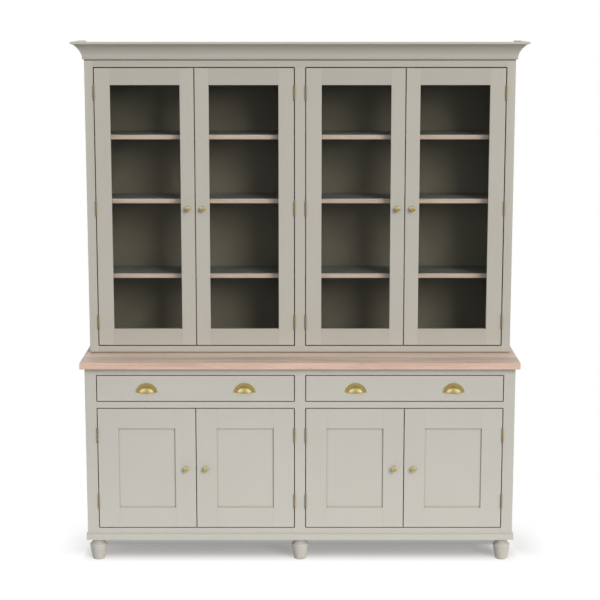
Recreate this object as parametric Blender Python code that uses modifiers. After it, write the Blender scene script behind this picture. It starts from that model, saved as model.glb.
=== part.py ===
"""Painted kitchen dresser: a glazed rack standing on a cupboard base with an oak worktop.

X runs along the dresser, Y from front to back and Z up, in metres. The origin is on
the floor under the middle of the worktop.
"""

import math

import bmesh
import bpy
from mathutils import Matrix, Vector

# Overall sizes
BASE_WIDTH = 1.865
TOP_DEPTH = 0.500
TOP_THICKNESS = 0.029
TOP_SIDE_OVERHANG = 0.0185
TOP_FRONT_OVERHANG = 0.024
RACK_SIDE_INSET = 0.0015
RACK_DEPTH = 0.275

# Boards and the gaps between them
SIDE_THICKNESS = 0.020
PARTITION_THICKNESS = 0.020
BACK_THICKNESS = 0.009
FRAME_THICKNESS = 0.022
DOOR_GAP = 0.0025
SEAT = 0.0003
EDGE_ROUND = 0.001
TOP_EDGE_ROUND = 0.002
OPENING_CORNER = 0.004
OVERRUN = 0.010
LAP = 0.002

# Courses of the base, from the floor up
FOOT_HEIGHT = 0.098
PLINTH_HEIGHT = 0.029
BASE_BOTTOM_RAIL = 0.025
CUPBOARD_OPENING = 0.540
MIDDLE_RAIL = 0.0285
DRAWER_OPENING = 0.118
BASE_TOP_RAIL = 0.0295

# Courses of the rack, from the worktop up
RACK_BOTTOM_RAIL = 0.0305
GLAZED_OPENING = 1.2245
FRIEZE_SHOWING = 0.033
CORNICE_LAP = 0.020
TOP_BOARD_RISE = 0.008
TOP_BOARD_THICKNESS = 0.018

# Widths of the uprights of both face frames
BASE_STILE = 0.0495
RACK_STILE = 0.038
MULLION = 0.0465

# Plinth moulding and turned feet
PLINTH_PROJECTION = 0.006
PLINTH_COVE_RISE = 0.0115
PLINTH_COVE_DROP = 0.0055
PLINTH_COVE_SAG = 0.0022
PLINTH_RAIL = 0.090
FOOT_DIAMETER = 0.075
FOOT_SIDE_INSET = 0.0405
FOOT_DEPTH_INSET = 0.045
FOOT_RADIUS_AND_HEIGHT_SHARES = (
    (1.00, 1.000), (1.00, 0.905), (0.94, 0.880), (0.62, 0.855), (0.57, 0.810), (0.60, 0.765),
    (0.87, 0.650), (0.94, 0.610), (0.70, 0.045), (0.62, 0.000),
)

# Cornice
CORNICE_HEIGHT = 0.076
CORNICE_PROJECTION = 0.0525
CORNICE_TOP_FLAT = 0.028
CORNICE_TOP_FILLET = 0.0098
CORNICE_TOP_STEP = 0.0078
CORNICE_BEAD = 0.0085
CORNICE_BEAD_HEIGHT = 0.006
CORNICE_QUIRK = 0.0013
CORNICE_COVE_SAG = 0.0077
CORNICE_BACK_RISE = 0.030

# Cupboard doors
CUPBOARD_MEMBER = 0.0895
PANEL_THICKNESS = 0.009
PANEL_SETBACK = 0.0065
CUPBOARD_HINGE_INSET = 0.1185
CUPBOARD_KNOB_INSET = 0.042

# Glazed doors
GLAZED_RAIL = 0.074
GLAZED_HINGE_STILE = 0.068
GLAZED_MEETING_STILE = 0.0615
GLASS_THICKNESS = 0.004
GLASS_SETBACK = 0.0095
GLAZED_HINGE_INSET = 0.106
GLAZED_KNOB_INSET = 0.0315
GROOVE_DEPTH = 0.008

# Butt hinges, whose leaves share the gap beside the door
HINGE_LENGTH = 0.065
HINGE_KNUCKLES = 5
KNUCKLE_DIAMETER = 0.006
LEAF_CLEARANCE = 0.0002
LEAF_LET_IN = 0.0008
LEAF_MARGIN = 0.003

# Knobs
KNOB_DIAMETER = 0.025
KNOB_PROJECTION = 0.0225
KNOB_RADIUS_AND_LENGTH_SHARES = (
    (0.42, 0.985), (0.72, 0.925), (0.93, 0.800), (1.00, 0.680), (0.93, 0.575), (0.52, 0.490),
    (0.38, 0.380), (0.40, 0.200), (0.62, 0.110), (0.66, 0.000),
)

# Cup pulls
PULL_WIDTH = 0.096
PULL_HEIGHT = 0.0435
PULL_PROJECTION = 0.0225
PULL_WALL = 0.0016
DOME_WIDTH = 0.0605
DOME_HEIGHT = 0.026
PULL_SPACING = 0.424
PULL_RISE = 0.0383

# Drawers and their runners
DRAWER_WALL = 0.012
DRAWER_BOTTOM = 0.008
DRAWER_SIDE_GAP = 0.003
DRAWER_HEADROOM = 0.016
DRAWER_BACK_GAP = 0.022
RUNNER_HEIGHT = 0.020
RUNNER_SHELF = 0.002

# Shelves and their pegs
RACK_SHELF_THICKNESS = 0.020
RACK_SHELF_SETBACK = 0.055
RACK_SHELF_TOP_SHARES = (0.256, 0.5262, 0.7542)
BASE_SHELF_THICKNESS = 0.018
BASE_SHELF_SETBACK = 0.040
BASE_SHELF_TOP_SHARES = (0.52,)
SHELF_END_GAP = 0.0008
SHELF_BACK_GAP = 0.001
PEG_DIAMETER = 0.005
PEG_LENGTH = 0.009
PEG_INSET = 0.035

# Sides of the round pieces
FOOT_STEPS = 24
KNOB_STEPS = 18
ROD_SIDES = 8
COVE_STEPS = 7
PULL_TURNS = 14
DOME_RINGS = 5
FLANGE_RINGS = 1

# Places worked out from the sizes above
BASE_HALF = BASE_WIDTH / 2
RACK_HALF = BASE_HALF - RACK_SIDE_INSET
TOP_HALF = BASE_HALF + TOP_SIDE_OVERHANG
BACK_Y = TOP_DEPTH / 2
BASE_FACE_Y = TOP_FRONT_OVERHANG - BACK_Y
RACK_FACE_Y = BACK_Y - RACK_DEPTH
INSIDE_BACK_Y = BACK_Y - BACK_THICKNESS

CARCASS_Z = FOOT_HEIGHT + PLINTH_HEIGHT
CUPBOARD_Z = CARCASS_Z + BASE_BOTTOM_RAIL
MIDDLE_RAIL_Z = CUPBOARD_Z + CUPBOARD_OPENING
DRAWER_Z = MIDDLE_RAIL_Z + MIDDLE_RAIL
TOP_RAIL_Z = DRAWER_Z + DRAWER_OPENING
WORKTOP_Z = TOP_RAIL_Z + BASE_TOP_RAIL
RACK_Z = WORKTOP_Z + TOP_THICKNESS
GLAZED_Z = RACK_Z + RACK_BOTTOM_RAIL
FRIEZE_Z = GLAZED_Z + GLAZED_OPENING
CORNICE_Z = FRIEZE_Z + FRIEZE_SHOWING
RACK_TOP_Z = CORNICE_Z + CORNICE_LAP
TOP_BOARD_Z = FRIEZE_Z + TOP_BOARD_RISE

BASE_OPENING_HALF = BASE_HALF - BASE_STILE
RACK_OPENING_HALF = RACK_HALF - RACK_STILE
AXIS_PROUD = KNUCKLE_DIAMETER / 2 + SEAT
SIDES = (("left", -1), ("right", 1))

PAINT = ("painted_wood", (0.50, 0.47, 0.42), 0.45, 0.0)
INSIDE = ("painted_inside", (0.20, 0.19, 0.16), 0.60, 0.0)
OAK = ("oiled_oak", (0.56, 0.36, 0.25), 0.50, 0.0)
BIRCH = ("birch_ply", (0.62, 0.48, 0.32), 0.55, 0.0)
BRASS = ("satin_brass", (0.62, 0.50, 0.24), 0.35, 1.0)
GLASS = ("clear_glass", (0.90, 0.94, 0.93), 0.05, 0.0)


def clear_scene():
    for obj in list(bpy.data.objects):
        bpy.data.objects.remove(obj)


def make_collection(name):
    collection = bpy.data.collections.new(name)
    bpy.context.scene.collection.children.link(collection)
    return collection


def finish_of(spec):
    name, colour, roughness, metallic = spec
    material = bpy.data.materials.get(name)
    if material is None:
        material = bpy.data.materials.new(name)
        material.use_nodes = True
        shader = material.node_tree.nodes["Principled BSDF"]
        shader.inputs["Base Color"].default_value = (*colour, 1.0)
        shader.inputs["Roughness"].default_value = roughness
        shader.inputs["Metallic"].default_value = metallic
    return material


def add_block(bm, x_span, y_span, z_span):
    """Add a rectangular block; each span is two ends in either order."""
    spans = [sorted(span) for span in (x_span, y_span, z_span)]
    centre = Vector([(low + high) / 2 for low, high in spans])
    size = Matrix.Diagonal([high - low for low, high in spans] + [1])
    bmesh.ops.create_cube(bm, size=1, matrix=Matrix.Translation(centre) @ size)


def add_rod(bm, start, end, diameter):
    """Add a round rod between two points, with a corner of its outline uppermost."""
    start, end = Vector(start), Vector(end)
    run = end - start
    turn = run.to_track_quat("Z", "Y").to_matrix().to_4x4()
    turn = turn @ Matrix.Rotation(math.pi / 2, 4, "Z")
    bmesh.ops.create_cone(
        bm, cap_ends=True, segments=ROD_SIDES, radius1=diameter / 2, radius2=diameter / 2,
        depth=run.length, matrix=Matrix.Translation((start + end) / 2) @ turn,
    )


def mesh_from(name, bm):
    mesh = bpy.data.meshes.new(name)
    bm.to_mesh(mesh)
    bm.free()
    return mesh


def place(name, mesh, finish, parent=None, location=(0, 0, 0)):
    """Put a mesh in the dresser as a named piece with its finish."""
    obj = bpy.data.objects.new(name, mesh)
    mesh.materials.append(finish_of(finish))
    parts.objects.link(obj)
    obj.parent = parent
    obj.location = location
    return obj


def blocks_mesh(name, blocks):
    bm = bmesh.new()
    for spans in blocks:
        add_block(bm, *spans)
    return mesh_from(name, bm)


def rods_mesh(name, rods):
    bm = bmesh.new()
    for start, end, diameter in rods:
        add_rod(bm, start, end, diameter)
    return mesh_from(name, bm)


def block_piece(name, spans, finish, **where):
    return place(name, blocks_mesh(name, [spans]), finish, **where)


def round_edges(obj, width, segments=1):
    bevel = obj.modifiers.new("rounded edges", "BEVEL")
    bevel.width = width
    bevel.segments = segments
    bevel.limit_method = "ANGLE"


def combine(obj, mesh, operation, finish=None):
    """Cut a mesh out of a piece, or join it on. Its bodies don't overlap each other."""
    if finish:
        mesh.materials.append(finish_of(finish))
    guide = bpy.data.objects.new(mesh.name, mesh)
    guides.objects.link(guide)
    guide.hide_render = True
    guide.display_type = "WIRE"
    guide.parent = obj.parent
    guide.location = obj.location
    modifier = obj.modifiers.new(mesh.name, "BOOLEAN")
    modifier.operation = operation
    modifier.material_mode = "TRANSFER"
    modifier.object = guide
    return guide


def cut_blocks(obj, label, blocks, corner=0.0):
    guide = combine(obj, blocks_mesh(f"{obj.name} {label}", blocks), "DIFFERENCE")
    if corner:
        round_edges(guide, corner, segments=2)


def join_blocks(obj, label, blocks, finish):
    combine(obj, blocks_mesh(f"{obj.name} {label}", blocks), "UNION", finish)


def join_rods(obj, label, rods, finish):
    combine(obj, rods_mesh(f"{obj.name} {label}", rods), "UNION", finish)


def turned(name, outline, steps, finish, **where):
    """Turn an outline of (radius, height) points, listed from the top down, about Z."""
    mesh = bpy.data.meshes.new(name)
    mesh.from_pydata(
        [(radius, 0, height) for radius, height in outline],
        [(i, i + 1) for i in range(len(outline) - 1)], [],
    )
    obj = place(name, mesh, finish, **where)
    screw = obj.modifiers.new("turning", "SCREW")
    screw.steps = screw.render_steps = steps
    screw.use_merge_vertices = True
    screw.merge_threshold = 0.00001
    screw.use_smooth_shade = True
    return obj


def arc_between(start, end, sag, steps):
    """Points of the arc from start to end that bows by sag to the left of the chord."""
    start, end = Vector(start), Vector(end)
    chord = end - start
    radius = (chord.length_squared / 4 + sag * sag) / (2 * sag)
    left = Vector((-chord.y, chord.x)).normalized()
    centre = (start + end) / 2 - left * (radius - sag)
    half_turn = math.asin(chord.length / 2 / radius)
    points = []
    for step in range(steps + 1):
        angle = half_turn * (2 * step / steps - 1)
        along = chord.normalized() * math.sin(angle) + left * math.cos(angle)
        points.append(tuple(centre + along * radius))
    return points


def moulding_mesh(name, outline, half_width, front_y):
    """Run an outline of (outward, height) points round the left, front and right sides."""
    corners = ((-1, BACK_Y, 0), (-1, front_y, -1), (1, front_y, -1), (1, BACK_Y, 0))
    bm = bmesh.new()
    rings = []
    for side, y, forward in corners:
        ring = [
            bm.verts.new((side * (half_width + out), y + forward * out, height))
            for out, height in outline
        ]
        rings.append(ring)
    bm.faces.new(rings[0])
    bm.faces.new(rings[-1])
    for near, far in zip(rings, rings[1:]):
        for i in range(len(outline)):
            j = (i + 1) % len(outline)
            bm.faces.new((near[i], near[j], far[j], far[i]))
    bmesh.ops.recalc_face_normals(bm, faces=bm.faces)
    return mesh_from(name, bm)


def door_row(opening_half):
    """Name, axis X, hand and clear width of each door of a row, left to right.

    A hand of 1 is a door hinged on its left edge, and -1 one hinged on its right.
    """
    width = (opening_half - MULLION / 2 - 3 * DOOR_GAP) / 2
    outer = opening_half - DOOR_GAP / 2
    inner = MULLION / 2 + DOOR_GAP / 2
    return (
        ("left_outer", -outer, 1, width), ("left_inner", -inner, -1, width),
        ("right_inner", inner, 1, width), ("right_outer", outer, -1, width),
    )


def hinge_half(x, y, toward, centres, first):
    """The leaves, necks and knuckles of one half of a door's hinges.

    toward is the side of the axis that the leaves lie on. The knuckles alternate
    between the two halves, from the first one given.
    """
    face_y = y + AXIS_PROUD
    leaf_x = (x + toward * LEAF_CLEARANCE, x + toward * (DOOR_GAP / 2 + LEAF_LET_IN))
    neck_x = (x + toward * LEAF_CLEARANCE, x + toward * (DOOR_GAP / 2 - LEAF_CLEARANCE))
    leaf_y = (face_y + EDGE_ROUND, face_y + FRAME_THICKNESS - LEAF_MARGIN)
    neck_y = (y, face_y + EDGE_ROUND + LAP)
    pitch = (HINGE_LENGTH + SEAT) / HINGE_KNUCKLES
    leaves, necks, knuckles = [], [], []
    for centre in centres:
        low = centre - HINGE_LENGTH / 2
        leaves.append((leaf_x, leaf_y, (low, low + HINGE_LENGTH)))
        for turn in range(first, HINGE_KNUCKLES, 2):
            z_span = (low + turn * pitch, low + (turn + 1) * pitch - SEAT)
            necks.append((neck_x, neck_y, z_span))
            knuckles.append(((x, y, z_span[0]), (x, y, z_span[1]), KNUCKLE_DIAMETER))
    return leaves, necks, knuckles


def join_hinge_halves(obj, halves):
    for label, kind, join in (("leaves", 0, join_blocks), ("necks", 1, join_blocks),
                              ("knuckles", 2, join_rods)):
        join(obj, label, [shape for half in halves for shape in half[kind]], BRASS)


def face_frame(name, half_width, face_y, z_span, openings, doors, door_z, centres):
    """A glued-up face frame with its openings and the fixed halves of the hinges."""
    frame = block_piece(
        name, ((-half_width, half_width), (face_y, face_y + FRAME_THICKNESS), z_span), PAINT,
    )
    round_edges(frame, EDGE_ROUND)
    cut_blocks(frame, "openings", openings, corner=OPENING_CORNER)
    axis_y = face_y - AXIS_PROUD
    heights = [door_z + centre for centre in centres]
    halves = [hinge_half(x, axis_y, -hand, heights, 0) for _, x, hand, _ in doors]
    join_hinge_halves(frame, halves)
    return frame


def opening_block(side, opening_half, face_y, low, high):
    x_span = (side * MULLION / 2, side * opening_half)
    y_span = (face_y - OVERRUN, face_y + FRAME_THICKNESS + OVERRUN)
    return (x_span, y_span, (low, high))


def cupboard_hinge_centres():
    height = CUPBOARD_OPENING - 2 * DOOR_GAP
    return (CUPBOARD_HINGE_INSET, height - CUPBOARD_HINGE_INSET)


def glazed_hinge_centres():
    height = GLAZED_OPENING - 2 * DOOR_GAP
    return (GLAZED_HINGE_INSET, height / 2, height - GLAZED_HINGE_INSET)


def door_leaf(name, axis, hand, width, height, stiles, rail, filling, centres):
    """A framed door about its hinge axis, and the panel or pane held in its groove."""
    setback, thickness, node, finish = filling
    hinge_stile, meeting_stile = stiles
    near, far = DOOR_GAP / 2, DOOR_GAP / 2 + width
    y_span = (AXIS_PROUD, AXIS_PROUD + FRAME_THICKNESS)
    frame = block_piece(
        name, ((hand * near, hand * far), y_span, (0, height)), PAINT, parent=axis,
    )
    round_edges(frame, EDGE_ROUND)
    open_x = (hand * (near + hinge_stile), hand * (far - meeting_stile))
    open_z = (rail, height - rail)
    through = (y_span[0] - OVERRUN, y_span[1] + OVERRUN)
    cut_blocks(frame, "opening", [(open_x, through, open_z)])
    front = AXIS_PROUD + setback
    cut_blocks(frame, "groove", [(
        (open_x[0] - hand * GROOVE_DEPTH, open_x[1] + hand * GROOVE_DEPTH),
        (front - SEAT, front + thickness + SEAT),
        (open_z[0] - GROOVE_DEPTH, open_z[1] + GROOVE_DEPTH),
    )])
    join_hinge_halves(frame, [hinge_half(0, 0, hand, centres, 1)])
    reach = GROOVE_DEPTH - SEAT
    block_piece(node, (
        (open_x[0] - hand * reach, open_x[1] + hand * reach),
        (front, front + thickness),
        (open_z[0] - reach, open_z[1] + reach),
    ), finish, parent=axis)
    return frame


def make_axis(name, location):
    axis = bpy.data.objects.new(name, None)
    parts.objects.link(axis)
    axis.location = location
    return axis


def make_knob(name, axis, x, z):
    """A domed knob on a short neck, standing out from a door face."""
    outline = [(0, KNOB_PROJECTION)]
    for radius_share, length_share in KNOB_RADIUS_AND_LENGTH_SHARES:
        outline.append((KNOB_DIAMETER / 2 * radius_share, KNOB_PROJECTION * length_share))
    outline.append((0, 0))
    knob = turned(
        name, outline, KNOB_STEPS, BRASS, parent=axis, location=(x, AXIS_PROUD - SEAT, z),
    )
    knob.rotation_euler = (math.pi / 2, 0, 0)
    return knob


def make_doors(row, face_y, bottom_z, height, stiles, rail, filling, knob_inset, centres):
    prefix, panel_prefix, setback, thickness, finish = filling
    for name, x, hand, width in row:
        axis = make_axis(
            f"{prefix}_door_{name}_axis", (x, face_y - AXIS_PROUD, bottom_z + DOOR_GAP),
        )
        door_leaf(
            f"{prefix}_door_{name}", axis, hand, width, height, stiles, rail,
            (setback, thickness, f"{panel_prefix}_{name}", finish), centres,
        )
        knob_x = hand * (DOOR_GAP / 2 + width - knob_inset)
        make_knob(f"{prefix}_knob_{name}", axis, knob_x, height / 2)


def make_worktop():
    top = block_piece("worktop", (
        (-TOP_HALF, TOP_HALF), (-BACK_Y, BACK_Y), (WORKTOP_Z, RACK_Z),
    ), OAK)
    round_edges(top, TOP_EDGE_ROUND, segments=2)


def make_plinth():
    """A moulded frame round the front and sides, closed by a back and a middle rail."""
    top = CARCASS_Z - SEAT
    cove_foot = CARCASS_Z - PLINTH_COVE_DROP
    cove = arc_between(
        (PLINTH_PROJECTION, cove_foot), (SEAT * 3, cove_foot + PLINTH_COVE_RISE),
        -PLINTH_COVE_SAG, COVE_STEPS,
    )
    outline = [(-PLINTH_RAIL, FOOT_HEIGHT), (PLINTH_PROJECTION, FOOT_HEIGHT), *cove,
               (SEAT, cove_foot + PLINTH_COVE_RISE), (SEAT, top), (-PLINTH_RAIL, top)]
    mesh = moulding_mesh("plinth", outline, BASE_HALF, BASE_FACE_Y)
    plinth = place("plinth", mesh, PAINT)
    inner_half = BASE_HALF - PLINTH_RAIL
    inner_front = BASE_FACE_Y + PLINTH_RAIL
    join_blocks(plinth, "back rail", [(
        (-inner_half - LAP, inner_half + LAP), (BACK_Y - PLINTH_RAIL, BACK_Y - SEAT),
        (FOOT_HEIGHT + SEAT, top - SEAT),
    )], PAINT)
    join_blocks(plinth, "middle rail", [(
        (-PLINTH_RAIL / 2, PLINTH_RAIL / 2), (inner_front - LAP, BACK_Y - PLINTH_RAIL + LAP),
        (FOOT_HEIGHT + 2 * SEAT, top - 2 * SEAT),
    )], PAINT)


def make_feet():
    top = FOOT_HEIGHT - SEAT
    outline = [(0, top)]
    for radius_share, height_share in FOOT_RADIUS_AND_HEIGHT_SHARES:
        outline.append((FOOT_DIAMETER / 2 * radius_share, top * height_share))
    outline.append((0, 0))
    side_x = BASE_HALF - FOOT_SIDE_INSET
    rows = (("front", BASE_FACE_Y + FOOT_DEPTH_INSET), ("back", BACK_Y - FOOT_DEPTH_INSET))
    for row, y in rows:
        for name, x in (("left", -side_x), ("middle", 0), ("right", side_x)):
            turned(f"foot_{row}_{name}", outline, FOOT_STEPS, PAINT, location=(x, y, 0))


def peg_rods(face_x, toward, tops, thickness, y_span):
    """Pegs under each shelf, standing out of an upright's face towards the shelf."""
    rods = []
    for top in tops:
        z = top - thickness - SEAT - PEG_DIAMETER / 2
        for y in (y_span[0] + PEG_INSET, y_span[1] - PEG_INSET):
            rods.append(((face_x - toward * LAP, y, z), (face_x + toward * PEG_LENGTH, y, z),
                         PEG_DIAMETER))
    return rods


def shelf_tops(low, high, shares):
    return [low + (high - low) * share for share in shares]


def make_shelves(prefix, inner_half, tops, thickness, y_span):
    for side_name, side in SIDES:
        x_span = (
            side * (PARTITION_THICKNESS / 2 + SHELF_END_GAP),
            side * (inner_half - SHELF_END_GAP),
        )
        for number, top in enumerate(tops, start=1):
            label = f"{prefix}_{side_name}_{number}" if len(tops) > 1 else f"{prefix}_{side_name}"
            shelf = block_piece(label, (x_span, y_span, (top - thickness, top)), OAK)
            round_edges(shelf, EDGE_ROUND)


def make_base_carcass():
    inner = BASE_HALF - SIDE_THICKNESS
    front_y = BASE_FACE_Y + FRAME_THICKNESS + SEAT
    low, high = CARCASS_Z, WORKTOP_Z - SEAT
    shelf_y = (front_y + BASE_SHELF_SETBACK, INSIDE_BACK_Y - SHELF_BACK_GAP)
    tops = shelf_tops(CUPBOARD_Z, MIDDLE_RAIL_Z, BASE_SHELF_TOP_SHARES)
    runner_z = (DRAWER_Z + DOOR_GAP - SEAT - RUNNER_HEIGHT, DRAWER_Z + DOOR_GAP - SEAT)
    runner_y = (front_y + SEAT, INSIDE_BACK_Y - SHELF_BACK_GAP)
    reach = DRAWER_SIDE_GAP + DRAWER_WALL + RUNNER_SHELF

    for name, side in SIDES:
        panel = block_piece(f"base_side_{name}", (
            (side * inner, side * BASE_HALF), (front_y, BACK_Y), (low, high),
        ), PAINT)
        join_blocks(panel, "runner", [(
            (side * (inner + LAP), side * (BASE_OPENING_HALF - reach)), runner_y, runner_z,
        )], BIRCH)
        join_rods(panel, "pegs", peg_rods(
            side * inner, -side, tops, BASE_SHELF_THICKNESS, shelf_y,
        ), BRASS)

    half = PARTITION_THICKNESS / 2
    partition = block_piece("base_partition", (
        (-half, half), (front_y, INSIDE_BACK_Y - SEAT), (CUPBOARD_Z + SEAT, high),
    ), INSIDE)
    join_blocks(partition, "runners", [
        ((side * (half - LAP), side * (MULLION / 2 + reach)), runner_y, runner_z)
        for _, side in SIDES
    ], BIRCH)
    join_rods(partition, "pegs", [
        rod for _, side in SIDES
        for rod in peg_rods(side * half, side, tops, BASE_SHELF_THICKNESS, shelf_y)
    ], BRASS)

    block_piece("base_floor", (
        (-inner + SEAT, inner - SEAT), (front_y, INSIDE_BACK_Y - SEAT), (low, CUPBOARD_Z),
    ), INSIDE)
    block_piece("base_back", (
        (-inner + SEAT, inner - SEAT), (INSIDE_BACK_Y, BACK_Y), (low, high),
    ), INSIDE)
    make_shelves("base_shelf", inner, tops, BASE_SHELF_THICKNESS, shelf_y)

    openings = []
    for _, side in SIDES:
        for bottom, top in ((CUPBOARD_Z, MIDDLE_RAIL_Z), (DRAWER_Z, TOP_RAIL_Z)):
            openings.append(opening_block(side, BASE_OPENING_HALF, BASE_FACE_Y, bottom, top))
    face_frame(
        "base_face_frame", BASE_HALF, BASE_FACE_Y, (low, high), openings,
        door_row(BASE_OPENING_HALF), CUPBOARD_Z + DOOR_GAP, cupboard_hinge_centres(),
    )


def make_pull(name, parent, x, face_y, z):
    """A half-round flange with a hollow dome, open below for the fingers."""
    rings = DOME_RINGS + FLANGE_RINGS
    bm = bmesh.new()
    bmesh.ops.create_grid(bm, x_segments=rings, y_segments=PULL_TURNS, size=0.5)
    for vert in bm.verts:
        ring = round((vert.co.x + 0.5) * rings)
        turn = (vert.co.y + 0.5) * math.pi
        if ring <= DOME_RINGS:
            lift = ring / DOME_RINGS * math.pi / 2
            across, up = DOME_WIDTH / 2 * math.sin(lift), DOME_HEIGHT * math.sin(lift)
            out = (PULL_PROJECTION - PULL_WALL - SEAT) * math.cos(lift)
        else:
            share = (ring - DOME_RINGS) / FLANGE_RINGS
            across = DOME_WIDTH / 2 + (PULL_WIDTH - DOME_WIDTH) / 2 * share
            up = DOME_HEIGHT + (PULL_HEIGHT - DOME_HEIGHT) * share
            out = 0
        vert.co = (across * math.cos(turn), -PULL_WALL - SEAT - out, up * math.sin(turn))
    bmesh.ops.remove_doubles(bm, verts=bm.verts, dist=SEAT)
    bmesh.ops.recalc_face_normals(bm, faces=bm.faces)
    if sum(face.normal.y for face in bm.faces) > 0:
        bmesh.ops.reverse_faces(bm, faces=bm.faces)
    pull = place(name, mesh_from(name, bm), BRASS, parent=parent, location=(x, face_y, z))
    wall = pull.modifiers.new("wall", "SOLIDIFY")
    wall.thickness = PULL_WALL
    wall.offset = -1
    wall.use_even_offset = True
    return pull


def make_drawers():
    """Open boxes behind flush fronts, each with two cup pulls."""
    front_z = (DOOR_GAP, DRAWER_OPENING - DOOR_GAP)
    near = MULLION / 2
    middle = (near + BASE_OPENING_HALF) / 2
    width = BASE_OPENING_HALF - near
    for name, side in SIDES:
        axis = make_axis(f"drawer_{name}_slide", (side * middle, BASE_FACE_Y, DRAWER_Z))
        outer = width / 2 - DRAWER_SIDE_GAP
        box_y = (FRAME_THICKNESS - LAP, INSIDE_BACK_Y - BASE_FACE_Y - DRAWER_BACK_GAP)
        box = block_piece(f"drawer_{name}", (
            (-outer, outer), box_y, (front_z[0], front_z[1] - DRAWER_HEADROOM),
        ), BIRCH, parent=axis)
        cut_blocks(box, "inside", [(
            (DRAWER_WALL - outer, outer - DRAWER_WALL),
            (FRAME_THICKNESS, box_y[1] - DRAWER_WALL),
            (front_z[0] + DRAWER_BOTTOM, front_z[1] + OVERRUN),
        )])
        front = blocks_mesh(f"drawer_{name} front", [(
            (DOOR_GAP - width / 2, width / 2 - DOOR_GAP), (0, FRAME_THICKNESS), front_z,
        )])
        round_edges(combine(box, front, "UNION", PAINT), EDGE_ROUND)
        pull_z = front_z[0] + PULL_RISE
        for label, offset in (("outer", side), ("inner", -side)):
            make_pull(
                f"cup_pull_{name}_{label}", axis, offset * PULL_SPACING / 2, 0, pull_z,
            )


def make_cupboard_doors():
    make_doors(
        door_row(BASE_OPENING_HALF), BASE_FACE_Y, CUPBOARD_Z, CUPBOARD_OPENING - 2 * DOOR_GAP,
        (CUPBOARD_MEMBER, CUPBOARD_MEMBER), CUPBOARD_MEMBER,
        ("cupboard", "cupboard_panel", PANEL_SETBACK, PANEL_THICKNESS, PAINT),
        CUPBOARD_KNOB_INSET, cupboard_hinge_centres(),
    )


def make_glazed_doors():
    make_doors(
        door_row(RACK_OPENING_HALF), RACK_FACE_Y, GLAZED_Z, GLAZED_OPENING - 2 * DOOR_GAP,
        (GLAZED_HINGE_STILE, GLAZED_MEETING_STILE), GLAZED_RAIL,
        ("glazed", "glass_pane", GLASS_SETBACK, GLASS_THICKNESS, GLASS),
        GLAZED_KNOB_INSET, glazed_hinge_centres(),
    )


def make_rack_carcass():
    inner = RACK_HALF - SIDE_THICKNESS
    front_y = RACK_FACE_Y + FRAME_THICKNESS + SEAT
    low = RACK_Z + SEAT
    shelf_y = (RACK_FACE_Y + RACK_SHELF_SETBACK, INSIDE_BACK_Y - SHELF_BACK_GAP)
    tops = shelf_tops(GLAZED_Z, TOP_BOARD_Z, RACK_SHELF_TOP_SHARES)

    for name, side in SIDES:
        panel = block_piece(f"rack_side_{name}", (
            (side * inner, side * RACK_HALF), (front_y, BACK_Y), (low, RACK_TOP_Z),
        ), PAINT)
        join_rods(panel, "pegs", peg_rods(
            side * inner, -side, tops, RACK_SHELF_THICKNESS, shelf_y,
        ), BRASS)

    half = PARTITION_THICKNESS / 2
    partition = block_piece("rack_partition", (
        (-half, half), (front_y, INSIDE_BACK_Y - SEAT), (GLAZED_Z + SEAT, TOP_BOARD_Z - SEAT),
    ), INSIDE)
    join_rods(partition, "pegs", [
        rod for _, side in SIDES
        for rod in peg_rods(side * half, side, tops, RACK_SHELF_THICKNESS, shelf_y)
    ], BRASS)

    across = (-inner + SEAT, inner - SEAT)
    block_piece("rack_floor", (across, (front_y, INSIDE_BACK_Y - SEAT), (low, GLAZED_Z)), INSIDE)
    block_piece("rack_top_board", (
        across, (front_y, INSIDE_BACK_Y - SEAT), (TOP_BOARD_Z, TOP_BOARD_Z + TOP_BOARD_THICKNESS),
    ), INSIDE)
    block_piece("rack_back", (across, (INSIDE_BACK_Y, BACK_Y), (low, RACK_TOP_Z)), INSIDE)
    make_shelves("rack_shelf", inner, tops, RACK_SHELF_THICKNESS, shelf_y)

    openings = [
        opening_block(side, RACK_OPENING_HALF, RACK_FACE_Y, GLAZED_Z, FRIEZE_Z)
        for _, side in SIDES
    ]
    face_frame(
        "rack_face_frame", RACK_HALF, RACK_FACE_Y, (low, RACK_TOP_Z), openings,
        door_row(RACK_OPENING_HALF), GLAZED_Z + DOOR_GAP, glazed_hinge_centres(),
    )


def make_cornice():
    """A coved moulding mitred round three sides, lapping the top of the rack."""
    cove = arc_between(
        (CORNICE_BEAD - CORNICE_QUIRK, CORNICE_Z + CORNICE_BEAD_HEIGHT),
        (CORNICE_PROJECTION - CORNICE_TOP_STEP, CORNICE_Z + CORNICE_HEIGHT - CORNICE_TOP_FILLET),
        CORNICE_COVE_SAG, COVE_STEPS,
    )
    top = CORNICE_Z + CORNICE_HEIGHT
    outline = [
        (SEAT, CORNICE_Z), (CORNICE_BEAD, CORNICE_Z),
        (CORNICE_BEAD, CORNICE_Z + CORNICE_BEAD_HEIGHT), *cove,
        (CORNICE_PROJECTION, top - CORNICE_TOP_FILLET), (CORNICE_PROJECTION, top),
        (CORNICE_PROJECTION - CORNICE_TOP_FLAT, top), (SEAT, CORNICE_Z + CORNICE_BACK_RISE),
    ]
    place("cornice", moulding_mesh("cornice", outline, RACK_HALF, RACK_FACE_Y), PAINT)


clear_scene()
parts = make_collection("kitchen_dresser")
guides = make_collection("cutters_and_joins")
make_feet()
make_plinth()
make_base_carcass()
make_drawers()
make_cupboard_doors()
make_worktop()
make_rack_carcass()
make_glazed_doors()
make_cornice()
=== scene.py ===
# Painted kitchen dresser: paint, oak, brass, glass and the fittings, round the fixed frame.
import math

import bmesh
import bpy
from mathutils import Matrix, Vector


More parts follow.
